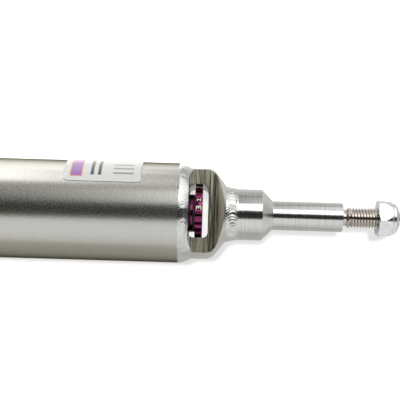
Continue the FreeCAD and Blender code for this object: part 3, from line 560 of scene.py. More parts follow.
# Damper tube: ground smooth, with a helical thread for the spring collar.
PERCH_THREAD_START = 5 * MM
PERCH_THREAD_LENGTH = 150 * MM
PERCH_THREAD_PITCH = 2.5 * MM
PERCH_THREAD_DEPTH = 0.6 * MM
FOOT_UNDER_BEAD = 0.8 * MM

tube_top, tube_foot, tube_bore, tube_radius = extent("damper_tube")
tube_end = tube_foot + FOOT_UNDER_BEAD
thread_start = tube_top + PERCH_THREAD_START
thread_end = thread_start + PERCH_THREAD_LENGTH
tube_mesh = joined(
    lathe(rounded([(thread_start, tube_radius), (tube_top, tube_radius), (tube_top, tube_bore),
                   (tube_end, tube_bore), (tube_end, tube_radius), (thread_end, tube_radius)])),
    thread(thread_start, thread_end, tube_radius, PERCH_THREAD_PITCH, PERCH_THREAD_DEPTH))
place("ground_tube", tube_mesh, "tube", "ground_steel", "damper_tube")

# Mounting pin: neck, cone, plain pin, relief and threaded stud.
PIN_LENGTH = 35 * MM
PIN_RADIUS = 7.25 * MM
NECK_RADIUS = 12.75 * MM
SPIGOT_RADIUS = 8 * MM
SPIGOT_LENGTH = 5 * MM
RELIEF_RADIUS = 3.9 * MM
RELIEF_LENGTH = 1.8 * MM
STUD_RADIUS = 5 * MM
STUD_PITCH = 1.5 * MM
STUD_DEPTH = 0.9 * MM
PIN_EDGE = 0.3 * MM

pin_start, stud_end, _, _ = extent("lower_pin")
neck_start = pin_start + SPIGOT_LENGTH
pin_shoulder = -PIN_LENGTH / 2
pin_end = PIN_LENGTH / 2
cone_start = pin_shoulder - (NECK_RADIUS - PIN_RADIUS)
stud_start = pin_end + RELIEF_LENGTH
stud_thread_start = stud_start + STUD_RADIUS - RELIEF_RADIUS
pin_mesh = joined(
    lathe(rounded([(pin_start, 0), (pin_start, SPIGOT_RADIUS), (neck_start, SPIGOT_RADIUS),
                   (neck_start, NECK_RADIUS), (cone_start, NECK_RADIUS),
                   (pin_shoulder, PIN_RADIUS, SOFT_EDGE), (pin_end, PIN_RADIUS, PIN_EDGE),
                   (pin_end, RELIEF_RADIUS), (stud_start, RELIEF_RADIUS), (stud_thread_start, STUD_RADIUS)])),
    thread(stud_thread_start, stud_end, STUD_RADIUS, STUD_PITCH, STUD_DEPTH, bevel=STUD_DEPTH),
    lathe([(stud_end, STUD_RADIUS - STUD_DEPTH), (stud_end, 0)]))
place("mounting_pin", pin_mesh, "tube", "turned_steel", "lower_pin")

# Lower fitting: a turned body, milled flat on two sides and slotted for the dial.
FLAT_HALF = 9 * MM
FLAT_SETBACK = 5.25 * MM
FLAT_CORNER = 1 * MM
RUNOUT_CORNER = 18.95 * MM
RUNOUT_RADIUS = 3.8 * MM
RUNOUT_SLOPE = math.radians(56)
SLOT_LAND = 0.2 * MM
SLOT_WIDTH = 9.55 * MM
SLOT_LENGTH = 26.6 * MM
SLOT_CORNER = 2.5 * MM
DOME_LENGTH = 6.8 * MM
DOME_ROUND = 6.5 * MM
DOME_STEPS = 16
RUNOUT_STEPS = 24
NOSE_RADIUS = 13.9 * MM
SPINDLE_BORE = 3.05 * MM
FITTING_EDGE = 0.3 * MM

plug_face, nose_face, _, _ = extent("lower_fitting")
barrel_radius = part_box("lower_fitting")[1].y
flat_wall = tube_foot + FLAT_SETBACK
slot_wall = flat_wall + SLOT_LAND
slot_end = slot_wall + SLOT_WIDTH
runout = tube_foot + RUNOUT_CORNER
fitting_blank = turned_mesh(
    [(plug_face, SPINDLE_BORE), (plug_face, barrel_radius, WIDE_EDGE),
     (nose_face - DOME_LENGTH, barrel_radius, DOME_ROUND), (nose_face, NOSE_RADIUS),
     (nose_face, SPIGOT_RADIUS), (pin_start, SPIGOT_RADIUS), (pin_start, SPINDLE_BORE)],
    steps=DOME_STEPS, columns=FINE_COLUMNS)
reach = 2 * tube_radius
cutters = []
for side in (1, -1):
    far = side * reach
    face = side * FLAT_HALF
    climb = abs(far - face) / math.tan(RUNOUT_SLOPE)
    outline = rounded([(flat_wall, face, FLAT_CORNER), (runout, face, RUNOUT_RADIUS),
                       (runout + climb, far, 0), (flat_wall, far, 0)], steps=RUNOUT_STEPS, loop=True)
    cutters.append(prism(outline, 1, -reach, reach))
half_slot = SLOT_LENGTH / 2
slot_outline = rounded([(slot_wall, -half_slot), (slot_end, -half_slot), (slot_end, half_slot),
                        (slot_wall, half_slot)], SLOT_CORNER, ROUND_STEPS, loop=True)
cutters.append(prism(slot_outline, 2, -reach, reach))
place("end_fitting", carved(fitting_blank, cutters, FITTING_EDGE), "tube", "fitting_steel", "lower_fitting")

# Weld beads: overlapping ripples round the neck, and a smooth wash at the tube's foot.
BEAD_COLUMNS = 920
BEAD_ROOT = 0.1 * MM
NECK_ROWS = 25
NECK_RIPPLES = 46
NECK_RIPPLE_HEIGHT = 0.3 * MM
NECK_RIPPLE_BOW = 1.5
NECK_RIPPLE_RISE = 0.1
NECK_RIPPLE_STOP = 0.97
NECK_RIPPLE_FADE = 0.25
NECK_BEAD_HEIGHT = 1.15 * MM
NECK_BEAD_FALL = 1.6
FOOT_ROWS = 21
FOOT_RIPPLES = 62
FOOT_RIPPLE_HEIGHT = 0.07 * MM
FOOT_RIPPLE_BOW = 0.6
FOOT_FALL = 1.05
FOOT_CROWN = 0.35 * MM
FOOT_RAISE = 0.05 * MM
FOOT_SWELL = 0.12 * MM
FOOT_TOE = 0.4 * MM
TOE_ROOT = 0.02 * MM
TOE_RISE = 0.04 * MM
FLAT_LAP = 1.8 * MM
FLAT_LAP_REACH = 3.5 * MM

bead_turn = turns(BEAD_COLUMNS)


def ripples(share, count, bow):
    """Height from 0 to 1 of crescent ripples, bowed towards +Y in the middle of the bead."""
    middle = 1 - (2 * share - 1) ** 2
    uneven = (0.5 * np.sin(5 * bead_turn) + 0.35 * np.sin(11 * bead_turn + 1)
              + 0.25 * np.sin(17 * bead_turn + 2))
    phase = count * bead_turn / (2 * math.pi) + bow * middle + uneven * (0.6 + 0.8 * share)
    strength = 0.8 + 0.2 * np.sin(4 * bead_turn + 5 * share) * np.cos(7 * bead_turn)
    return strength * np.sin(math.pi * (phase % 1)) ** 0.6


def neck_bead():
    start, end, _, _ = extent("pin_weld")
    rows = []
    for share in np.linspace(0, 1, NECK_ROWS):
        height = NECK_BEAD_HEIGHT * (1 - share) ** NECK_BEAD_FALL
        fade = max(0, min(1, share / NECK_RIPPLE_RISE, (NECK_RIPPLE_STOP - share) / NECK_RIPPLE_FADE))
        ripple = NECK_RIPPLE_HEIGHT * fade * (ripples(share, NECK_RIPPLES, NECK_RIPPLE_BOW) - 0.5)
        rows.append((start + (end - start) * share, NECK_RADIUS + height + ripple))
    root = NECK_RADIUS - BEAD_ROOT
    rows += [(end, root), (start, root)]
    return joined(lathe(rows, BEAD_COLUMNS, loop=True))


def waves(*counts):
    """An uneven wave round the bead, from -1 to 1."""
    return sum(np.sin(count * bead_turn + count ** 2) for count in counts) / len(counts)


def foot_bead():
    """Its toe laps unevenly over the tube's end, and its other edge over the corners of the flats."""
    start, end, inner, outer = extent("tube_weld")
    toe = tube_end - FOOT_TOE * (1 + 0.8 * waves(9, 17, 31, 47))
    swell = FOOT_SWELL * waves(7, 13, 23, 38)
    corner = math.sqrt(inner ** 2 - FLAT_HALF ** 2)
    inside = np.maximum(0, corner - inner * np.abs(np.sin(bead_turn)))
    overhang = FLAT_LAP * np.exp(-(inside / FLAT_LAP_REACH) ** 2)
    lap = end + overhang
    rows = [(toe, outer - TOE_ROOT), (toe, outer + TOE_RISE)]
    for share in np.linspace(0, 1, FOOT_ROWS):
        crown = math.sin(math.pi * share)
        height = (outer - inner) * (1 - share) ** FOOT_FALL + FOOT_CROWN * crown + FOOT_RAISE
        ripple = FOOT_RIPPLE_HEIGHT * crown * (ripples(share, FOOT_RIPPLES, FOOT_RIPPLE_BOW) - 0.5)
        rows.append((tube_end + (lap - tube_end) * share, inner + height + swell * crown + ripple))
    root = inner - BEAD_ROOT
    rows += [(lap, root - 0.5 * overhang), (end, root - 0.8 * overhang), (start, root)]
    return joined(lathe(rows, BEAD_COLUMNS, loop=True))


place("neck_bead", neck_bead(), "tube", "weld_steel", "pin_weld")
place("foot_bead", foot_bead(), "tube", "weld_steel", "tube_weld")

# Lock nut: hexagon, domed collar and the nylon ring's lip.
NUT_ACROSS = 17 * MM
NUT_TURN = math.radians(44.6)
NUT_HEXAGON = 6.8 * MM
NUT_BEVEL = 0.5 * MM
NUT_SHOULDER = 2.4 * MM
NUT_STEP = 0.6 * MM
NUT_COLLAR = 7.8 * MM
NUT_TOP = 6.0 * MM
NUT_LIP = 5.5 * MM
NUT_FACE = 0.535 * NUT_ACROSS
NUT_COLLAR_SHARE = 0.86
NUT_SHOULDER_ROUND = 2 * MM
NUT_TOP_ROUND = 1.6 * MM
NUT_COLUMNS = 288
NUT_ROWS = 40
CORNER_ROOM = 1.02


def hexagon_nut(across, turn, outline, bore):
    """A nut: a hexagon held inside a turned outline, which is given as distances and radii."""
    places, radii = zip(*outline)
    start, end = places[0], places[-1]
    along = np.unique(np.concatenate([np.linspace(start, end, NUT_ROWS), places]))
    six = hexagon(across, NUT_COLUMNS, turn)
    rows = [(x, smaller(six, radius)) for x, radius in zip(along, np.interp(along, places, radii))]
    edge = bore + SOFT_EDGE
    rows += [(end, edge), (end - SOFT_EDGE, bore), (start + SOFT_EDGE, bore), (start, edge)]
    return joined(lathe(rows, NUT_COLUMNS, loop=True))


def past_corners(across):
    """A radius just outside a hexagon's corners."""
    return across / 2 / math.cos(math.radians(30)) * CORNER_ROOM


nut_start, nut_end, _, _ = extent("lock_nut")
nut_corner = past_corners(NUT_ACROSS)
nut_outline = rounded([
    (nut_start, NUT_FACE), (nut_start + NUT_BEVEL, nut_corner),
    (nut_start + NUT_SHOULDER, nut_corner, NUT_SHOULDER_ROUND), (nut_start + NUT_HEXAGON, NUT_ACROSS / 2),
    (nut_start + NUT_HEXAGON + NUT_STEP, NUT_COLLAR, SOFT_EDGE),
    (nut_start + NUT_COLLAR_SHARE * (nut_end - nut_start), NUT_COLLAR, NUT_TOP_ROUND), (nut_end, NUT_TOP)])
nut_mesh = hexagon_nut(NUT_ACROSS, NUT_TURN, nut_outline, NUT_LIP)
place("lock_nut_body", nut_mesh, "nut", "zinc_steel", "lock_nut")

# Adjuster dial: a scalloped rim, a groove and a flange, with figures in two of the scallops.
DIAL_SCALLOPS = 14
DIAL_COLLAR_RADIUS = 9.5 * MM
DIAL_COLLAR_WIDTH = 1.2 * MM
DIAL_NECK_RADIUS = 7 * MM
DIAL_NECK_WIDTH = 1.1 * MM
SCALLOP_RADIUS = 4 * MM
SCALLOP_DEPTH = 0.65 * MM
RIDGE_SHARPNESS = 160
DIAL_EDGE = 0.2 * MM
DIAL_COLUMNS = DIAL_SCALLOPS * 40
SET_SCREW_HOLE = 1.27 * MM
SET_SCREW_EDGE = 0.05 * MM

dial_start, dial_end, dial_bore, dial_radius = extent("adjuster_dial")
groove_start = dial_start + DIAL_COLLAR_WIDTH
rim_start = groove_start + DIAL_NECK_WIDTH
rim_middle = (rim_start + dial_end) / 2


def scalloped(radius):
    """The rim's radius with its scallops cut in."""
    pitch = 2 * math.pi / DIAL_SCALLOPS
    offset = (turns(DIAL_COLUMNS) + pitch / 2) % pitch - pitch / 2
    middle = dial_radius - SCALLOP_DEPTH + SCALLOP_RADIUS
    floor = middle * np.cos(offset) - np.sqrt(SCALLOP_RADIUS ** 2 - (middle * np.sin(offset)) ** 2)
    return smaller(np.full(DIAL_COLUMNS, radius), floor, RIDGE_SHARPNESS)


def dial_mesh():
    rim = rounded([(rim_start, DIAL_NECK_RADIUS), (rim_start, dial_radius, DIAL_EDGE),
                   (dial_end, dial_radius, DIAL_EDGE), (dial_end, dial_bore)])
    rows = rounded([(rim_start, DIAL_NECK_RADIUS), (groove_start, DIAL_NECK_RADIUS),
                    (groove_start, DIAL_COLLAR_RADIUS), (dial_start, DIAL_COLLAR_RADIUS),
                    (dial_start, dial_bore)])[::-1]
    rows += [(x, scalloped(radius) if radius > DIAL_COLLAR_RADIUS else radius) for x, radius in rim[1:]]
    blank = joined(lathe(rows, DIAL_COLUMNS, loop=True))
    hole = prism(circle((rim_middle, 0), SET_SCREW_HOLE), 2, -2 * dial_radius, 0)
    return carved(blank, [hole], SET_SCREW_EDGE, 1)


place("numbered_dial", dial_mesh(), "dial", "purple_aluminium", "adjuster_dial")

FIGURES = (("3", 2.8 * MM, math.radians(4)), ("2", 2.1 * MM, math.radians(-2)))
FIGURE_STRETCH = 1.4
FIGURE_RELIEF = 0.03 * MM
FIGURE_BOLD = 0.012
FIGURE_STEPS = 6


def scalloped_at(angle):
    """The rim's radius at an angle from +Z towards +Y."""
    return np.interp(-angle % (2 * math.pi), turns(DIAL_COLUMNS), scalloped(dial_radius), period=2 * math.pi)


def figure(text, height, turn):
    """A painted figure on the dial's rim, its top towards the tube, at an angle from +Z towards +Y."""
    curve = bpy.data.curves.new("figure", "FONT")
    curve.body = text
    curve.resolution_u = FIGURE_STEPS
    curve.offset = FIGURE_BOLD
    source = added("figure_source", curve)
    mesh = baked(source)
    bpy.data.objects.remove(source)
    flat = np.array([vertex.co[:2] for vertex in mesh.vertices])
    low, high = flat.min(axis=0), flat.max(axis=0)
    scale = height / (high[1] - low[1])
    middle = (low + high) / 2
    for vertex, (right, up) in zip(mesh.vertices, (flat - middle) * scale):
        angle = turn + FIGURE_STRETCH * right / dial_radius
        radius = scalloped_at(angle) + FIGURE_RELIEF
        vertex.co = (rim_middle - up, radius * math.sin(angle), radius * math.cos(angle))
    place("figure_" + text, cleaned(mesh), "dial", "purple_aluminium", finish="numeral_paint")


for count, (text, height, lift) in enumerate(FIGURES):
    figure(text, height, count * 2 * math.pi / DIAL_SCALLOPS + lift)

# Rubber ring in the dial's groove, and a friction washer between the dial and the slot's wall.
RING_RADIUS = 9.4 * MM
WASHER_WIDTH = 0.6 * MM
WASHER_GAP = 0.05 * MM
WASHER_BORE = SPINDLE_BORE + 0.2 * MM
WASHER_CORNER = 0.15 * MM


def plain_ring(start, end, inner, outer, corner):
    return turned_mesh([(start, inner), (start, outer), (end, outer), (end, inner)], corner, ROUND_STEPS)


place("dial_ring", plain_ring(groove_start, rim_start, DIAL_NECK_RADIUS, RING_RADIUS, HALF_EDGE),
      "dial", "seal_rubber")
washer_end = dial_start - WASHER_GAP
washer_mesh = plain_ring(washer_end - WASHER_WIDTH, washer_end, WASHER_BORE, RING_RADIUS, WASHER_CORNER)
place("friction_washer", washer_mesh, "dial", "seal_rubber")

# Label: a thin film wrapped on the tube.
LABEL_SPAN = math.radians(93.6)
LABEL_TURN = math.radians(25.4)
LABEL_CORNER = 2 * MM
LABEL_THICKNESS = 0.11 * MM
LABEL_ROWS = 60
LABEL_COLUMNS = 40


def label_mesh():
    """The film's inner face, mapped for the print in millimetres from its corner."""
    start, end, _, outer = extent("label")
    width = LABEL_SPAN * outer
    across = np.linspace(0, width, LABEL_ROWS + 1)[:, None]
    inset = np.maximum(0, LABEL_CORNER - np.minimum(across, width - across))
    cut = LABEL_CORNER - np.sqrt(LABEL_CORNER ** 2 - inset ** 2)
    x = start + cut + (end - start - 2 * cut) * np.linspace(0, 1, LABEL_COLUMNS + 1)
    across = np.broadcast_to(across, x.shape)
    turn = LABEL_TURN + across / outer
    points = np.stack([x, outer * np.sin(turn), outer * np.cos(turn)], axis=-1).reshape(-1, 3)
    prints = np.stack([x - start, across], axis=-1).reshape(-1, 2) / MM
    here = np.arange(len(points)).reshape(x.shape)
    mesh = mesh_of(points.tolist(), quads(here[:, :-1], here[:, 1:]).tolist())
    layer = mesh.uv_layers.new(name="print")
    for loop in mesh.loops:
        layer.data[loop.index].uv = prints[loop.vertex_index]
    mesh.shade_smooth()
    return mesh


film = place("printed_film", label_mesh(), "tube", "label_film", "label")
thick = film.modifiers.new("thickness", "SOLIDIFY")
thick.thickness = LABEL_THICKNESS
thick.offset = 1.0

# Coil spring: closed and ground at both ends, between its seats.
SPRING_WIRE = 11 * MM
SPRING_TURNS = 7
CLOSED_REACH = 1.25
CLOSED_PITCH = 1.02
TIP_REACH = 0.15
SPRING_STEPS = 64
SPRING_SMOOTHING = 12
WIRE_COLUMNS = 24

spring_low, spring_high = (corner.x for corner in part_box("coil_spring"))


def spring_mesh():
    pitch = (spring_high - spring_low) / SPRING_TURNS
    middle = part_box("coil_spring")[1].z - SPRING_WIRE / 2
    close_turn = CLOSED_REACH * SPRING_WIRE / pitch
    spare = (CLOSED_REACH - TIP_REACH) / CLOSED_PITCH
    turn = np.linspace(close_turn - spare, SPRING_TURNS - close_turn + spare,
                       int(SPRING_STEPS * (SPRING_TURNS + 2 * (spare - close_turn))))
    slow = CLOSED_PITCH * SPRING_WIRE
    x = np.where(turn < close_turn, CLOSED_REACH * SPRING_WIRE + slow * (turn - close_turn), pitch * turn)
    last = SPRING_TURNS - close_turn
    x = np.where(turn > last, pitch * last + slow * (turn - last), x)
    for _ in range(SPRING_SMOOTHING):
        x[1:-1] = (x[:-2] + 2 * x[1:-1] + x[2:]) / 4
    angle = 2 * math.pi * turn
    centre = np.stack([spring_low + x, -middle * np.sin(angle), middle * np.cos(angle)], axis=-1)
    out = np.stack([0 * angle, -np.sin(angle), np.cos(angle)], axis=-1)
    along = np.gradient(centre, axis=0)
    along /= np.linalg.norm(along, axis=1)[:, None]
    side = np.cross(along, out)
    wire = turns(WIRE_COLUMNS)[:, None]
    points = centre[:, None] + SPRING_WIRE / 2 * (np.cos(wire) * out[:, None] + np.sin(wire) * side[:, None])
    points[..., 0] = np.clip(points[..., 0], spring_low, spring_high)
    here = np.arange(points.shape[0] * WIRE_COLUMNS).reshape(-1, WIRE_COLUMNS)
    faces = quads(here, np.roll(here, -1, axis=1)).tolist()
    ends = here[[0, -1]].tolist()
    return cleaned(mesh_of(points.reshape(-1, 3).tolist(), faces + ends))


spring = place("wound_spring", spring_mesh(), "rod", "spring_paint", "coil_spring")
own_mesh(spring)

# Rod: chromed, with a plain pin and a threaded end above the spring seat.
ROD_RADIUS = 7 * MM
SEAT_STUD_RADIUS = 6 * MM
UPPER_PIN_RADIUS = 5 * MM
UPPER_THREAD_LENGTH = 18 * MM
UPPER_PIN_LENGTH = 20 * MM
UPPER_SOCKET = 5 * MM
UPPER_SOCKET_DEPTH = 6 * MM
PISTON_STUD_RADIUS = 5 * MM
ROD_TIP_GAP = 0.1 * MM
SOCKET_EDGE = 0.08 * MM

rod_top, rod_end, _, _ = extent("piston_rod")
seat_top, seat_end, _, seat_radius = extent("upper_spring_seat")
rod_shoulder = extent("backing_washer")[0]
seat_floor = spring_low


def faced_back(part):
    """The surface turned half round Z, so that its end faces -X and its thread stays right-hand."""
    points, faces = part
    return points * (-1, -1, 1), faces


def rod_mesh():
    tip = rod_top + ROD_TIP_GAP
    thread_foot = rod_top + UPPER_THREAD_LENGTH
    stud_foot = thread_foot + UPPER_PIN_LENGTH
    blank = joined(
        lathe(rounded([(thread_foot, UPPER_PIN_RADIUS), (stud_foot, UPPER_PIN_RADIUS),
                       (stud_foot, SEAT_STUD_RADIUS), (seat_floor, SEAT_STUD_RADIUS),
                       (seat_floor, ROD_RADIUS), (rod_shoulder, ROD_RADIUS),
                       (rod_shoulder, PISTON_STUD_RADIUS), (rod_end, PISTON_STUD_RADIUS, WIDE_EDGE),
                       (rod_end, 0)])),
        faced_back(thread(-thread_foot, -tip, UPPER_PIN_RADIUS, STUD_PITCH, STUD_DEPTH, bevel=STUD_DEPTH)),
        lathe([(tip, UPPER_PIN_RADIUS - STUD_DEPTH), (tip, 0)]))
    socket = prism(circle((0, 0), UPPER_SOCKET / math.sqrt(3), 6), 0,
                   rod_top - CUTTER_OVERRUN, rod_top + UPPER_SOCKET_DEPTH)
    return carved(blank, [socket], SOCKET_EDGE, 1)


place("chromed_rod", rod_mesh(), "rod", "chrome_rod", "piston_rod")

# Spring seat with a turned recess on its face, its nut, and the bump stop.
RECESS_INNER = 17 * MM
RECESS_OUTER = 37 * MM
RECESS_DEPTH = 0.8 * MM
SPRING_GUIDE = 31.5 * MM
SEAT_NUT_ACROSS = 19 * MM
SEAT_NUT_FACE = 0.48 * SEAT_NUT_ACROSS
BUMP_RADIUS = 21 * MM
BUMP_TIP = 15 * MM
BUMP_ROUND = 2 * MM
BUMP_WAVES = ((0.3, BUMP_RADIUS), (0.4, 17 * MM), (0.5, 19.5 * MM), (0.62, 19.5 * MM), (0.72, 16 * MM),
              (0.82, 17.5 * MM))

recess_floor = seat_top + RECESS_DEPTH
seat_plate = turned_mesh(
    [(seat_top, SEAT_STUD_RADIUS), (seat_top, RECESS_INNER, SOFT_EDGE),
     (recess_floor, RECESS_INNER + RECESS_DEPTH), (recess_floor, RECESS_OUTER - RECESS_DEPTH),
     (seat_top, RECESS_OUTER, SOFT_EDGE), (seat_top, seat_radius, WIDE_EDGE),
     (seat_floor, seat_radius, WIDE_EDGE), (seat_floor, SPRING_GUIDE), (seat_end, SPRING_GUIDE, WIDE_EDGE),
     (seat_end, BUMP_RADIUS, HALF_EDGE), (seat_floor, BUMP_RADIUS), (seat_floor, SEAT_STUD_RADIUS)],
    steps=EDGE_STEPS, columns=FINE_COLUMNS)
place("seat_plate", seat_plate, "rod", "black_aluminium", "upper_spring_seat")

seat_nut_start, seat_nut_end, seat_nut_bore, _ = extent("seat_nut")
seat_nut_corner = past_corners(SEAT_NUT_ACROSS)
seat_nut_outline = [(seat_nut_start, SEAT_NUT_FACE), (seat_nut_start + WIDE_EDGE, seat_nut_corner),
                    (seat_nut_end - WIDE_EDGE, seat_nut_corner), (seat_nut_end, SEAT_NUT_FACE)]
seat_nut_mesh = hexagon_nut(SEAT_NUT_ACROSS, 0.0, seat_nut_outline, seat_nut_bore)
place("hexagon_seat_nut", seat_nut_mesh, "rod", "zinc_steel", "seat_nut")

bump_start, bump_end, bump_bore, _ = extent("bump_stop")
bump_waves = [(bump_start + share * (bump_end - bump_start), radius) for share, radius in BUMP_WAVES]
foam_mesh = turned_mesh(
    [(bump_start, bump_bore), (bump_start, BUMP_RADIUS, WIDE_EDGE), *bump_waves, (bump_end, BUMP_TIP),
     (bump_end, bump_bore)], BUMP_ROUND, ROUND_STEPS)
place("foam_stop", foam_mesh, "rod", "bump_foam", "bump_stop")

# Tube cap with four spanner holes, and the wiper in it.
CAP_FLANGE = 6 * MM
CAP_EDGE = 0.8 * MM
CAP_HOLES = 4
CAP_HOLE_RADIUS = 2.5 * MM
CAP_HOLE_DEPTH = 4 * MM
CAP_HOLE_CIRCLE = 18 * MM
WIPER_RADIUS = 11 * MM
WIPER_DEPTH = 3.2 * MM
WIPER_TIP = 1 * MM
WIPER_SHOULDER = 1.5 * MM
WIPER_FILLET = 0.8 * MM
WIPER_EDGE = 0.1 * MM
WIPER_GAP = 0.05 * MM

cap_face, cap_end, cap_bore, cap_radius = extent("tube_cap")


def around(radius, turn):
    """A point in the YZ plane at an angle from +Z towards -Y."""
    return -radius * math.sin(turn), radius * math.cos(turn)


def cap_mesh():
    flange_end = cap_face + CAP_FLANGE
    wiper_floor = cap_face + WIPER_DEPTH
    blank = turned_mesh(
        [(cap_face, WIPER_RADIUS), (cap_face, cap_radius, CAP_EDGE), (flange_end, cap_radius),
         (flange_end, tube_bore), (cap_end, tube_bore), (cap_end, cap_bore), (wiper_floor, cap_bore),
         (wiper_floor, WIPER_RADIUS)])
    holes = [prism(circle(around(CAP_HOLE_CIRCLE, turn), CAP_HOLE_RADIUS), 0,
                   cap_face - CUTTER_OVERRUN, cap_face + CAP_HOLE_DEPTH) for turn in turns(CAP_HOLES)]
    return carved(blank, holes, EDGE)


place("cap_ring", cap_mesh(), "tube", "black_steel", "tube_cap")
wiper_start, wiper_end, _, _ = extent("rod_wiper")
wiper_bore = ROD_RADIUS + WIPER_GAP
wiper_outside = WIPER_RADIUS - WIPER_GAP
wiper_mesh = turned_mesh(
    [(wiper_start, wiper_bore), (wiper_start, wiper_bore + WIPER_TIP, SOFT_EDGE),
     (cap_face, WIPER_RADIUS - WIPER_SHOULDER, WIPER_FILLET), (cap_face, wiper_outside),
     (wiper_end, wiper_outside), (wiper_end, wiper_bore)], WIPER_EDGE)
place("wiper_lip", wiper_mesh, "tube", "seal_rubber", "rod_wiper")

# Spring collar with spanner notches, and the slip ring under the spring.
COLLAR_FLANGE = 6 * MM
COLLAR_BODY = 33 * MM
COLLAR_FILLET = 2 * MM
COLLAR_BORE_EDGE = 0.6 * MM
NOTCHES = 8
NOTCH_WIDTH = 7 * MM
NOTCH_DEPTH = 3 * MM
NOTCH_LENGTH = 9 * MM
LOCK_HOLE_RADIUS = 3.02 * MM
SLIP_THICKNESS = 3 * MM

collar_top, collar_end, collar_bore, collar_radius = extent("perch_collar")


def collar_mesh():
    flange_end = collar_top + COLLAR_FLANGE
    blank = turned_mesh(
        [(collar_top, collar_bore), (collar_top, collar_radius), (flange_end, collar_radius),
         (flange_end, COLLAR_BODY, COLLAR_FILLET), (collar_end, COLLAR_BODY),
         (collar_end, collar_bore, COLLAR_BORE_EDGE)], WIDE_EDGE, EDGE_STEPS, FINE_COLUMNS)
    cutters = []
    for turn in turns(NOTCHES):
        out = Vector(around(1, turn))
        side = Vector((out.y, -out.x)) * (NOTCH_WIDTH / 2)
        inner = out * (COLLAR_BODY - NOTCH_DEPTH)
        outer = out * collar_radius
        outline = [tuple(inner - side), tuple(inner + side), tuple(outer + side), tuple(outer - side)]
        cutters.append(prism(outline, 0, collar_end - NOTCH_LENGTH, collar_end + CUTTER_OVERRUN))
    screw = (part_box("perch_lock_screw")[0].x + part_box("perch_lock_screw")[1].x) / 2
    cutters.append(prism(circle((screw, 0), LOCK_HOLE_RADIUS), 2, -collar_radius, 0))
    return carved(blank, cutters, SOFT_EDGE)


place("notched_collar", collar_mesh(), "collar", "black_aluminium", "perch_collar")
slip_start, slip_end, slip_bore, slip_radius = extent("spring_slip_ring")
slip_seat = slip_end - SLIP_THICKNESS
slip_mesh = turned_mesh(
    [(slip_start, slip_bore), (slip_start, SPRING_GUIDE, WIDE_EDGE), (slip_seat, SPRING_GUIDE),
     (slip_seat, slip_radius, HALF_EDGE), (slip_end, slip_radius, HALF_EDGE), (slip_end, slip_bore)],
    columns=FINE_COLUMNS)
place("slip_washer", slip_mesh, "slip_ring", "slip_plastic", "spring_slip_ring")

# Nylon ring in the lock nut.
place("nylon_ring", plain_ring(*extent("lock_nut_insert"), SOFT_EDGE), "nut", "nylon", "lock_nut_insert")

# Studio: a pale floor, pale walls with a dark gap overhead, a large soft light and a lamp for the shadow.
WHITE = (1, 1, 1)
FLOOR_GAP = 0.5 * MM
FLOOR_SIZE = 40.0
FLOOR_SHADE = (0.55, 0.545, 0.53)
# Painted shade: glossy rays see the floor in this darker, browner colour past the X edges below, under the
# tube.
PAINTED_SHADE_IN_METAL = (0.44, 0.42, 0.36)
FLOOR_GLOW = 0.52
GLOW_IN_METAL = 0.1
PAINTED_SHADE_UNDER_TUBE = (-0.05, -0.07)
LAMP_STRENGTH = 2.0
WORLD_ON_MATT = 0.5
LAMP_WIDTH = math.radians(3.5)
LAMP_TILT = (math.radians(4.2), math.radians(-3.9), 0)

# Pools of light painted as glow on the floor, behind the tube, by the stud and under the slot: strength, and
# edges along X and Y in metres.
BEHIND = (0.02, 0.06)
POOLS = (
    (1.6, [(-0.07, -0.15)], [BEHIND]),
    (1.4, [(-0.03, -0.07)], [BEHIND, (0.32, 0.16)]),
    (0.2, [], [BEHIND, (0.13, 0.09)]),
    (0.25, [(0.03, 0.06)], [(-0.03, -0.05)]),
    (0.16, [(-0.063, -0.059), (-0.044, -0.048)], [(-0.016, -0.012), (0.016, 0.012)]))


def floor():
    level = cad_box[0].z - FLOOR_GAP
    half = FLOOR_SIZE / 2
    corners = [(x, y, level) for x, y in ((-half, -half), (half, -half), (half, half), (-half, half))]
    mesh = mesh_of(corners, [(0, 1, 2, 3)])
    piece = added("floor", mesh)
    tree = Finish("floor")
    path = tree.add("LightPath").outputs
    seen = tree.most(path["Is Camera Ray"], path["Is Transmission Ray"],
                     tree.times(path["Is Glossy Ray"], GLOW_IN_METAL))
    x, y, _ = tree.add("SeparateXYZ", tree.place).outputs
    # Painted light: the pools glow for the camera and, at full strength, in reflections.
    painted_light_pool = 0.0
    for strength, x_edges, y_edges in POOLS:
        for axis, edges in ((x, x_edges), (y, y_edges)):
            for edge in edges:
                strength = tree.times(strength, tree.ease(axis, *edge))
        painted_light_pool = tree.most(painted_light_pool, strength)
    painted_light_pool = tree.times(painted_light_pool, tree.math("GREATER_THAN", seen, 0.0))
    # Painted shade: reflections show the floor darker and browner under the tube and beyond it along -X.
    painted_shade_under_tube = tree.times(path["Is Glossy Ray"], tree.ease(x, *PAINTED_SHADE_UNDER_TUBE))
    paint = tree.add("BsdfDiffuse", tree.mix(painted_shade_under_tube, FLOOR_SHADE, PAINTED_SHADE_IN_METAL)).outputs[0]
    strength = tree.math("ADD", tree.times(seen, FLOOR_GLOW), painted_light_pool)
    glow = tree.add("Emission", WHITE, strength).outputs[0]
    both = tree.add("AddShader", paint, glow).outputs[0]
    tree.feed(tree.tree.nodes["Material Output"].inputs["Surface"], both)
    mesh.materials.append(tree.material)


def lamp():
    """Lights from overhead with a soft-edged shadow. It leaves no streak of its own on the metal."""
    light = bpy.data.lights.new("lamp", "SUN")
    light.energy = LAMP_STRENGTH
    light.angle = LAMP_WIDTH
    piece = added("lamp", light)
    piece.rotation_euler = LAMP_TILT
    piece.visible_glossy = False


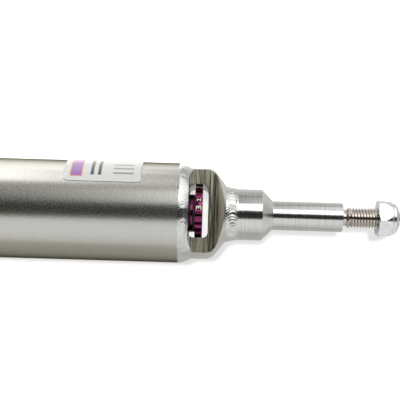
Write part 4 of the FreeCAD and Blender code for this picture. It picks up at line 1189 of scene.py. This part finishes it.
# The studio's walls and lights: where they start and end, in degrees from overhead towards +Y and as slopes
# towards +X, and how strong they are. A third number is the softness of both edges.
NEAR_WALL = (-23, -31)
NEAR_WALL_FALL = (-120, -55)
NEAR_WALL_FOOT = 0.55
BACK_WALL = (6, 76)
BACK_WALL_STRENGTH = 0.46
GAP_SLOPE = (-0.085, 0.01, 0.03)
GAP_STRENGTH = 0.35
BESIDE_START = (8, 14)
BESIDE_FALL = (104, 44)
BESIDE_STRENGTH = (0.28, 0.9)
BESIDE_SLOPE = (0.01, 0.045)
PALE_ANGLE = (10, 84, 10)
PALE_SLOPE = (0.075, 0.1)
PALE_STRENGTH = 1.1
DARKEST = 0.03
END_SLOPE = (1.4, 2.6)
END_STRENGTH = 0.06
WARM_LIGHT = (1, 0.96, 0.68)
WARM_STRENGTH = (1.0, 0.3)
WARM_SLOPE = (0.03, -0.03)
# The wall on the right, the large light overhead and the one on the left: strength, angle, slope and tilt.
LIGHTS = ((1.3, (10, 104, 6), (0.13, 1.8, 0.03), 0), (2.5, (10, 42, 2), (-0.01, 0.8, 0.04), 20),
          (3.0, (56, 112, 6), (-10, -0.165, 0.055), 0))


def surround():
    """The studio by direction. Its dim parts on the left are warm, and it is white for the camera."""
    world = bpy.data.worlds.new("studio")
    scene.world = world
    world.use_nodes = True
    tree = Nodes(world.node_tree)
    x, y, z = tree.add("SeparateXYZ", tree.add("TexCoord").outputs["Generated"]).outputs
    across = tree.math("DEGREES", tree.math("ARCTAN2", y, z))
    height = tree.math("SQRT", tree.math("ADD", tree.times(y, y), tree.times(z, z)))
    slope = tree.math("DIVIDE", x, height)
    near = tree.times(tree.ease(across, *NEAR_WALL), tree.ease(across, *NEAR_WALL_FALL, NEAR_WALL_FOOT))
    gap = tree.between(tree.band(slope, *GAP_SLOPE), 1.0, GAP_STRENGTH)
    back = tree.times(tree.ease(across, *BACK_WALL, 0.0, BACK_WALL_STRENGTH), gap)
    beside = tree.times(tree.ease(across, *BESIDE_FALL, *BESIDE_STRENGTH), tree.ease(across, *BESIDE_START))
    pale = tree.times(tree.band(across, *PALE_ANGLE), tree.ease(slope, *PALE_SLOPE, 0.0, PALE_STRENGTH))
    back = tree.between(tree.ease(slope, *BESIDE_SLOPE), back, tree.most(beside, pale))
    light = tree.most(near, back, DARKEST)
    for strength, angles, slopes, tilt in LIGHTS:
        tilted = tree.math("SUBTRACT", across, tree.times(slope, tilt))
        shape = tree.times(tree.band(tilted, *angles), tree.band(slope, *slopes))
        light = tree.most(light, tree.times(shape, strength))
    strength = tree.between(tree.ease(tree.math("ABSOLUTE", slope), *END_SLOPE), light, END_STRENGTH)
    warm = tree.times(tree.ease(strength, *WARM_STRENGTH), tree.ease(slope, *WARM_SLOPE))
    path = tree.add("LightPath").outputs
    strength = tree.times(strength, tree.between(path["Is Diffuse Ray"], 1.0, WORLD_ON_MATT))
    seen = tree.most(path["Is Camera Ray"], path["Is Transmission Ray"])
    strength = tree.between(seen, strength, 1.0)
    colour = tree.mix(seen, tree.mix(warm, WHITE, WARM_LIGHT), WHITE)
    background = world.node_tree.nodes["Background"]
    tree.feed(background.inputs["Color"], colour)
    tree.feed(background.inputs["Strength"], strength)


CAMERA_RISE = math.radians(81)
CAMERA_ROLL = math.radians(1.71)
CAMERA_DISTANCE = 490 * MM
CAMERA_WIDTH = 211.2 * MM
CAMERA_AIM = Vector((-48.8 * MM, 0, 0))
CAMERA_LIFT = 1.9 * MM
SENSOR_WIDTH = 36


def camera():
    upward = Vector((0, math.sin(CAMERA_RISE), math.cos(CAMERA_RISE)))
    back = Vector((0, -math.cos(CAMERA_RISE), math.sin(CAMERA_RISE)))
    level = Vector((1, 0, 0))
    right = math.cos(CAMERA_ROLL) * level + math.sin(CAMERA_ROLL) * upward
    top = math.cos(CAMERA_ROLL) * upward - math.sin(CAMERA_ROLL) * level
    lens = bpy.data.cameras.new("camera")
    lens.sensor_width = SENSOR_WIDTH
    lens.lens = SENSOR_WIDTH * CAMERA_DISTANCE / CAMERA_WIDTH
    piece = added("camera", lens)
    stand = Matrix((right, top, back)).transposed().to_4x4()
    stand.translation = CAMERA_AIM + CAMERA_LIFT * top + CAMERA_DISTANCE * back
    piece.matrix_world = stand
    scene.camera = piece


floor()
lamp()
surround()
camera()
scene.view_settings.view_transform = "Standard"
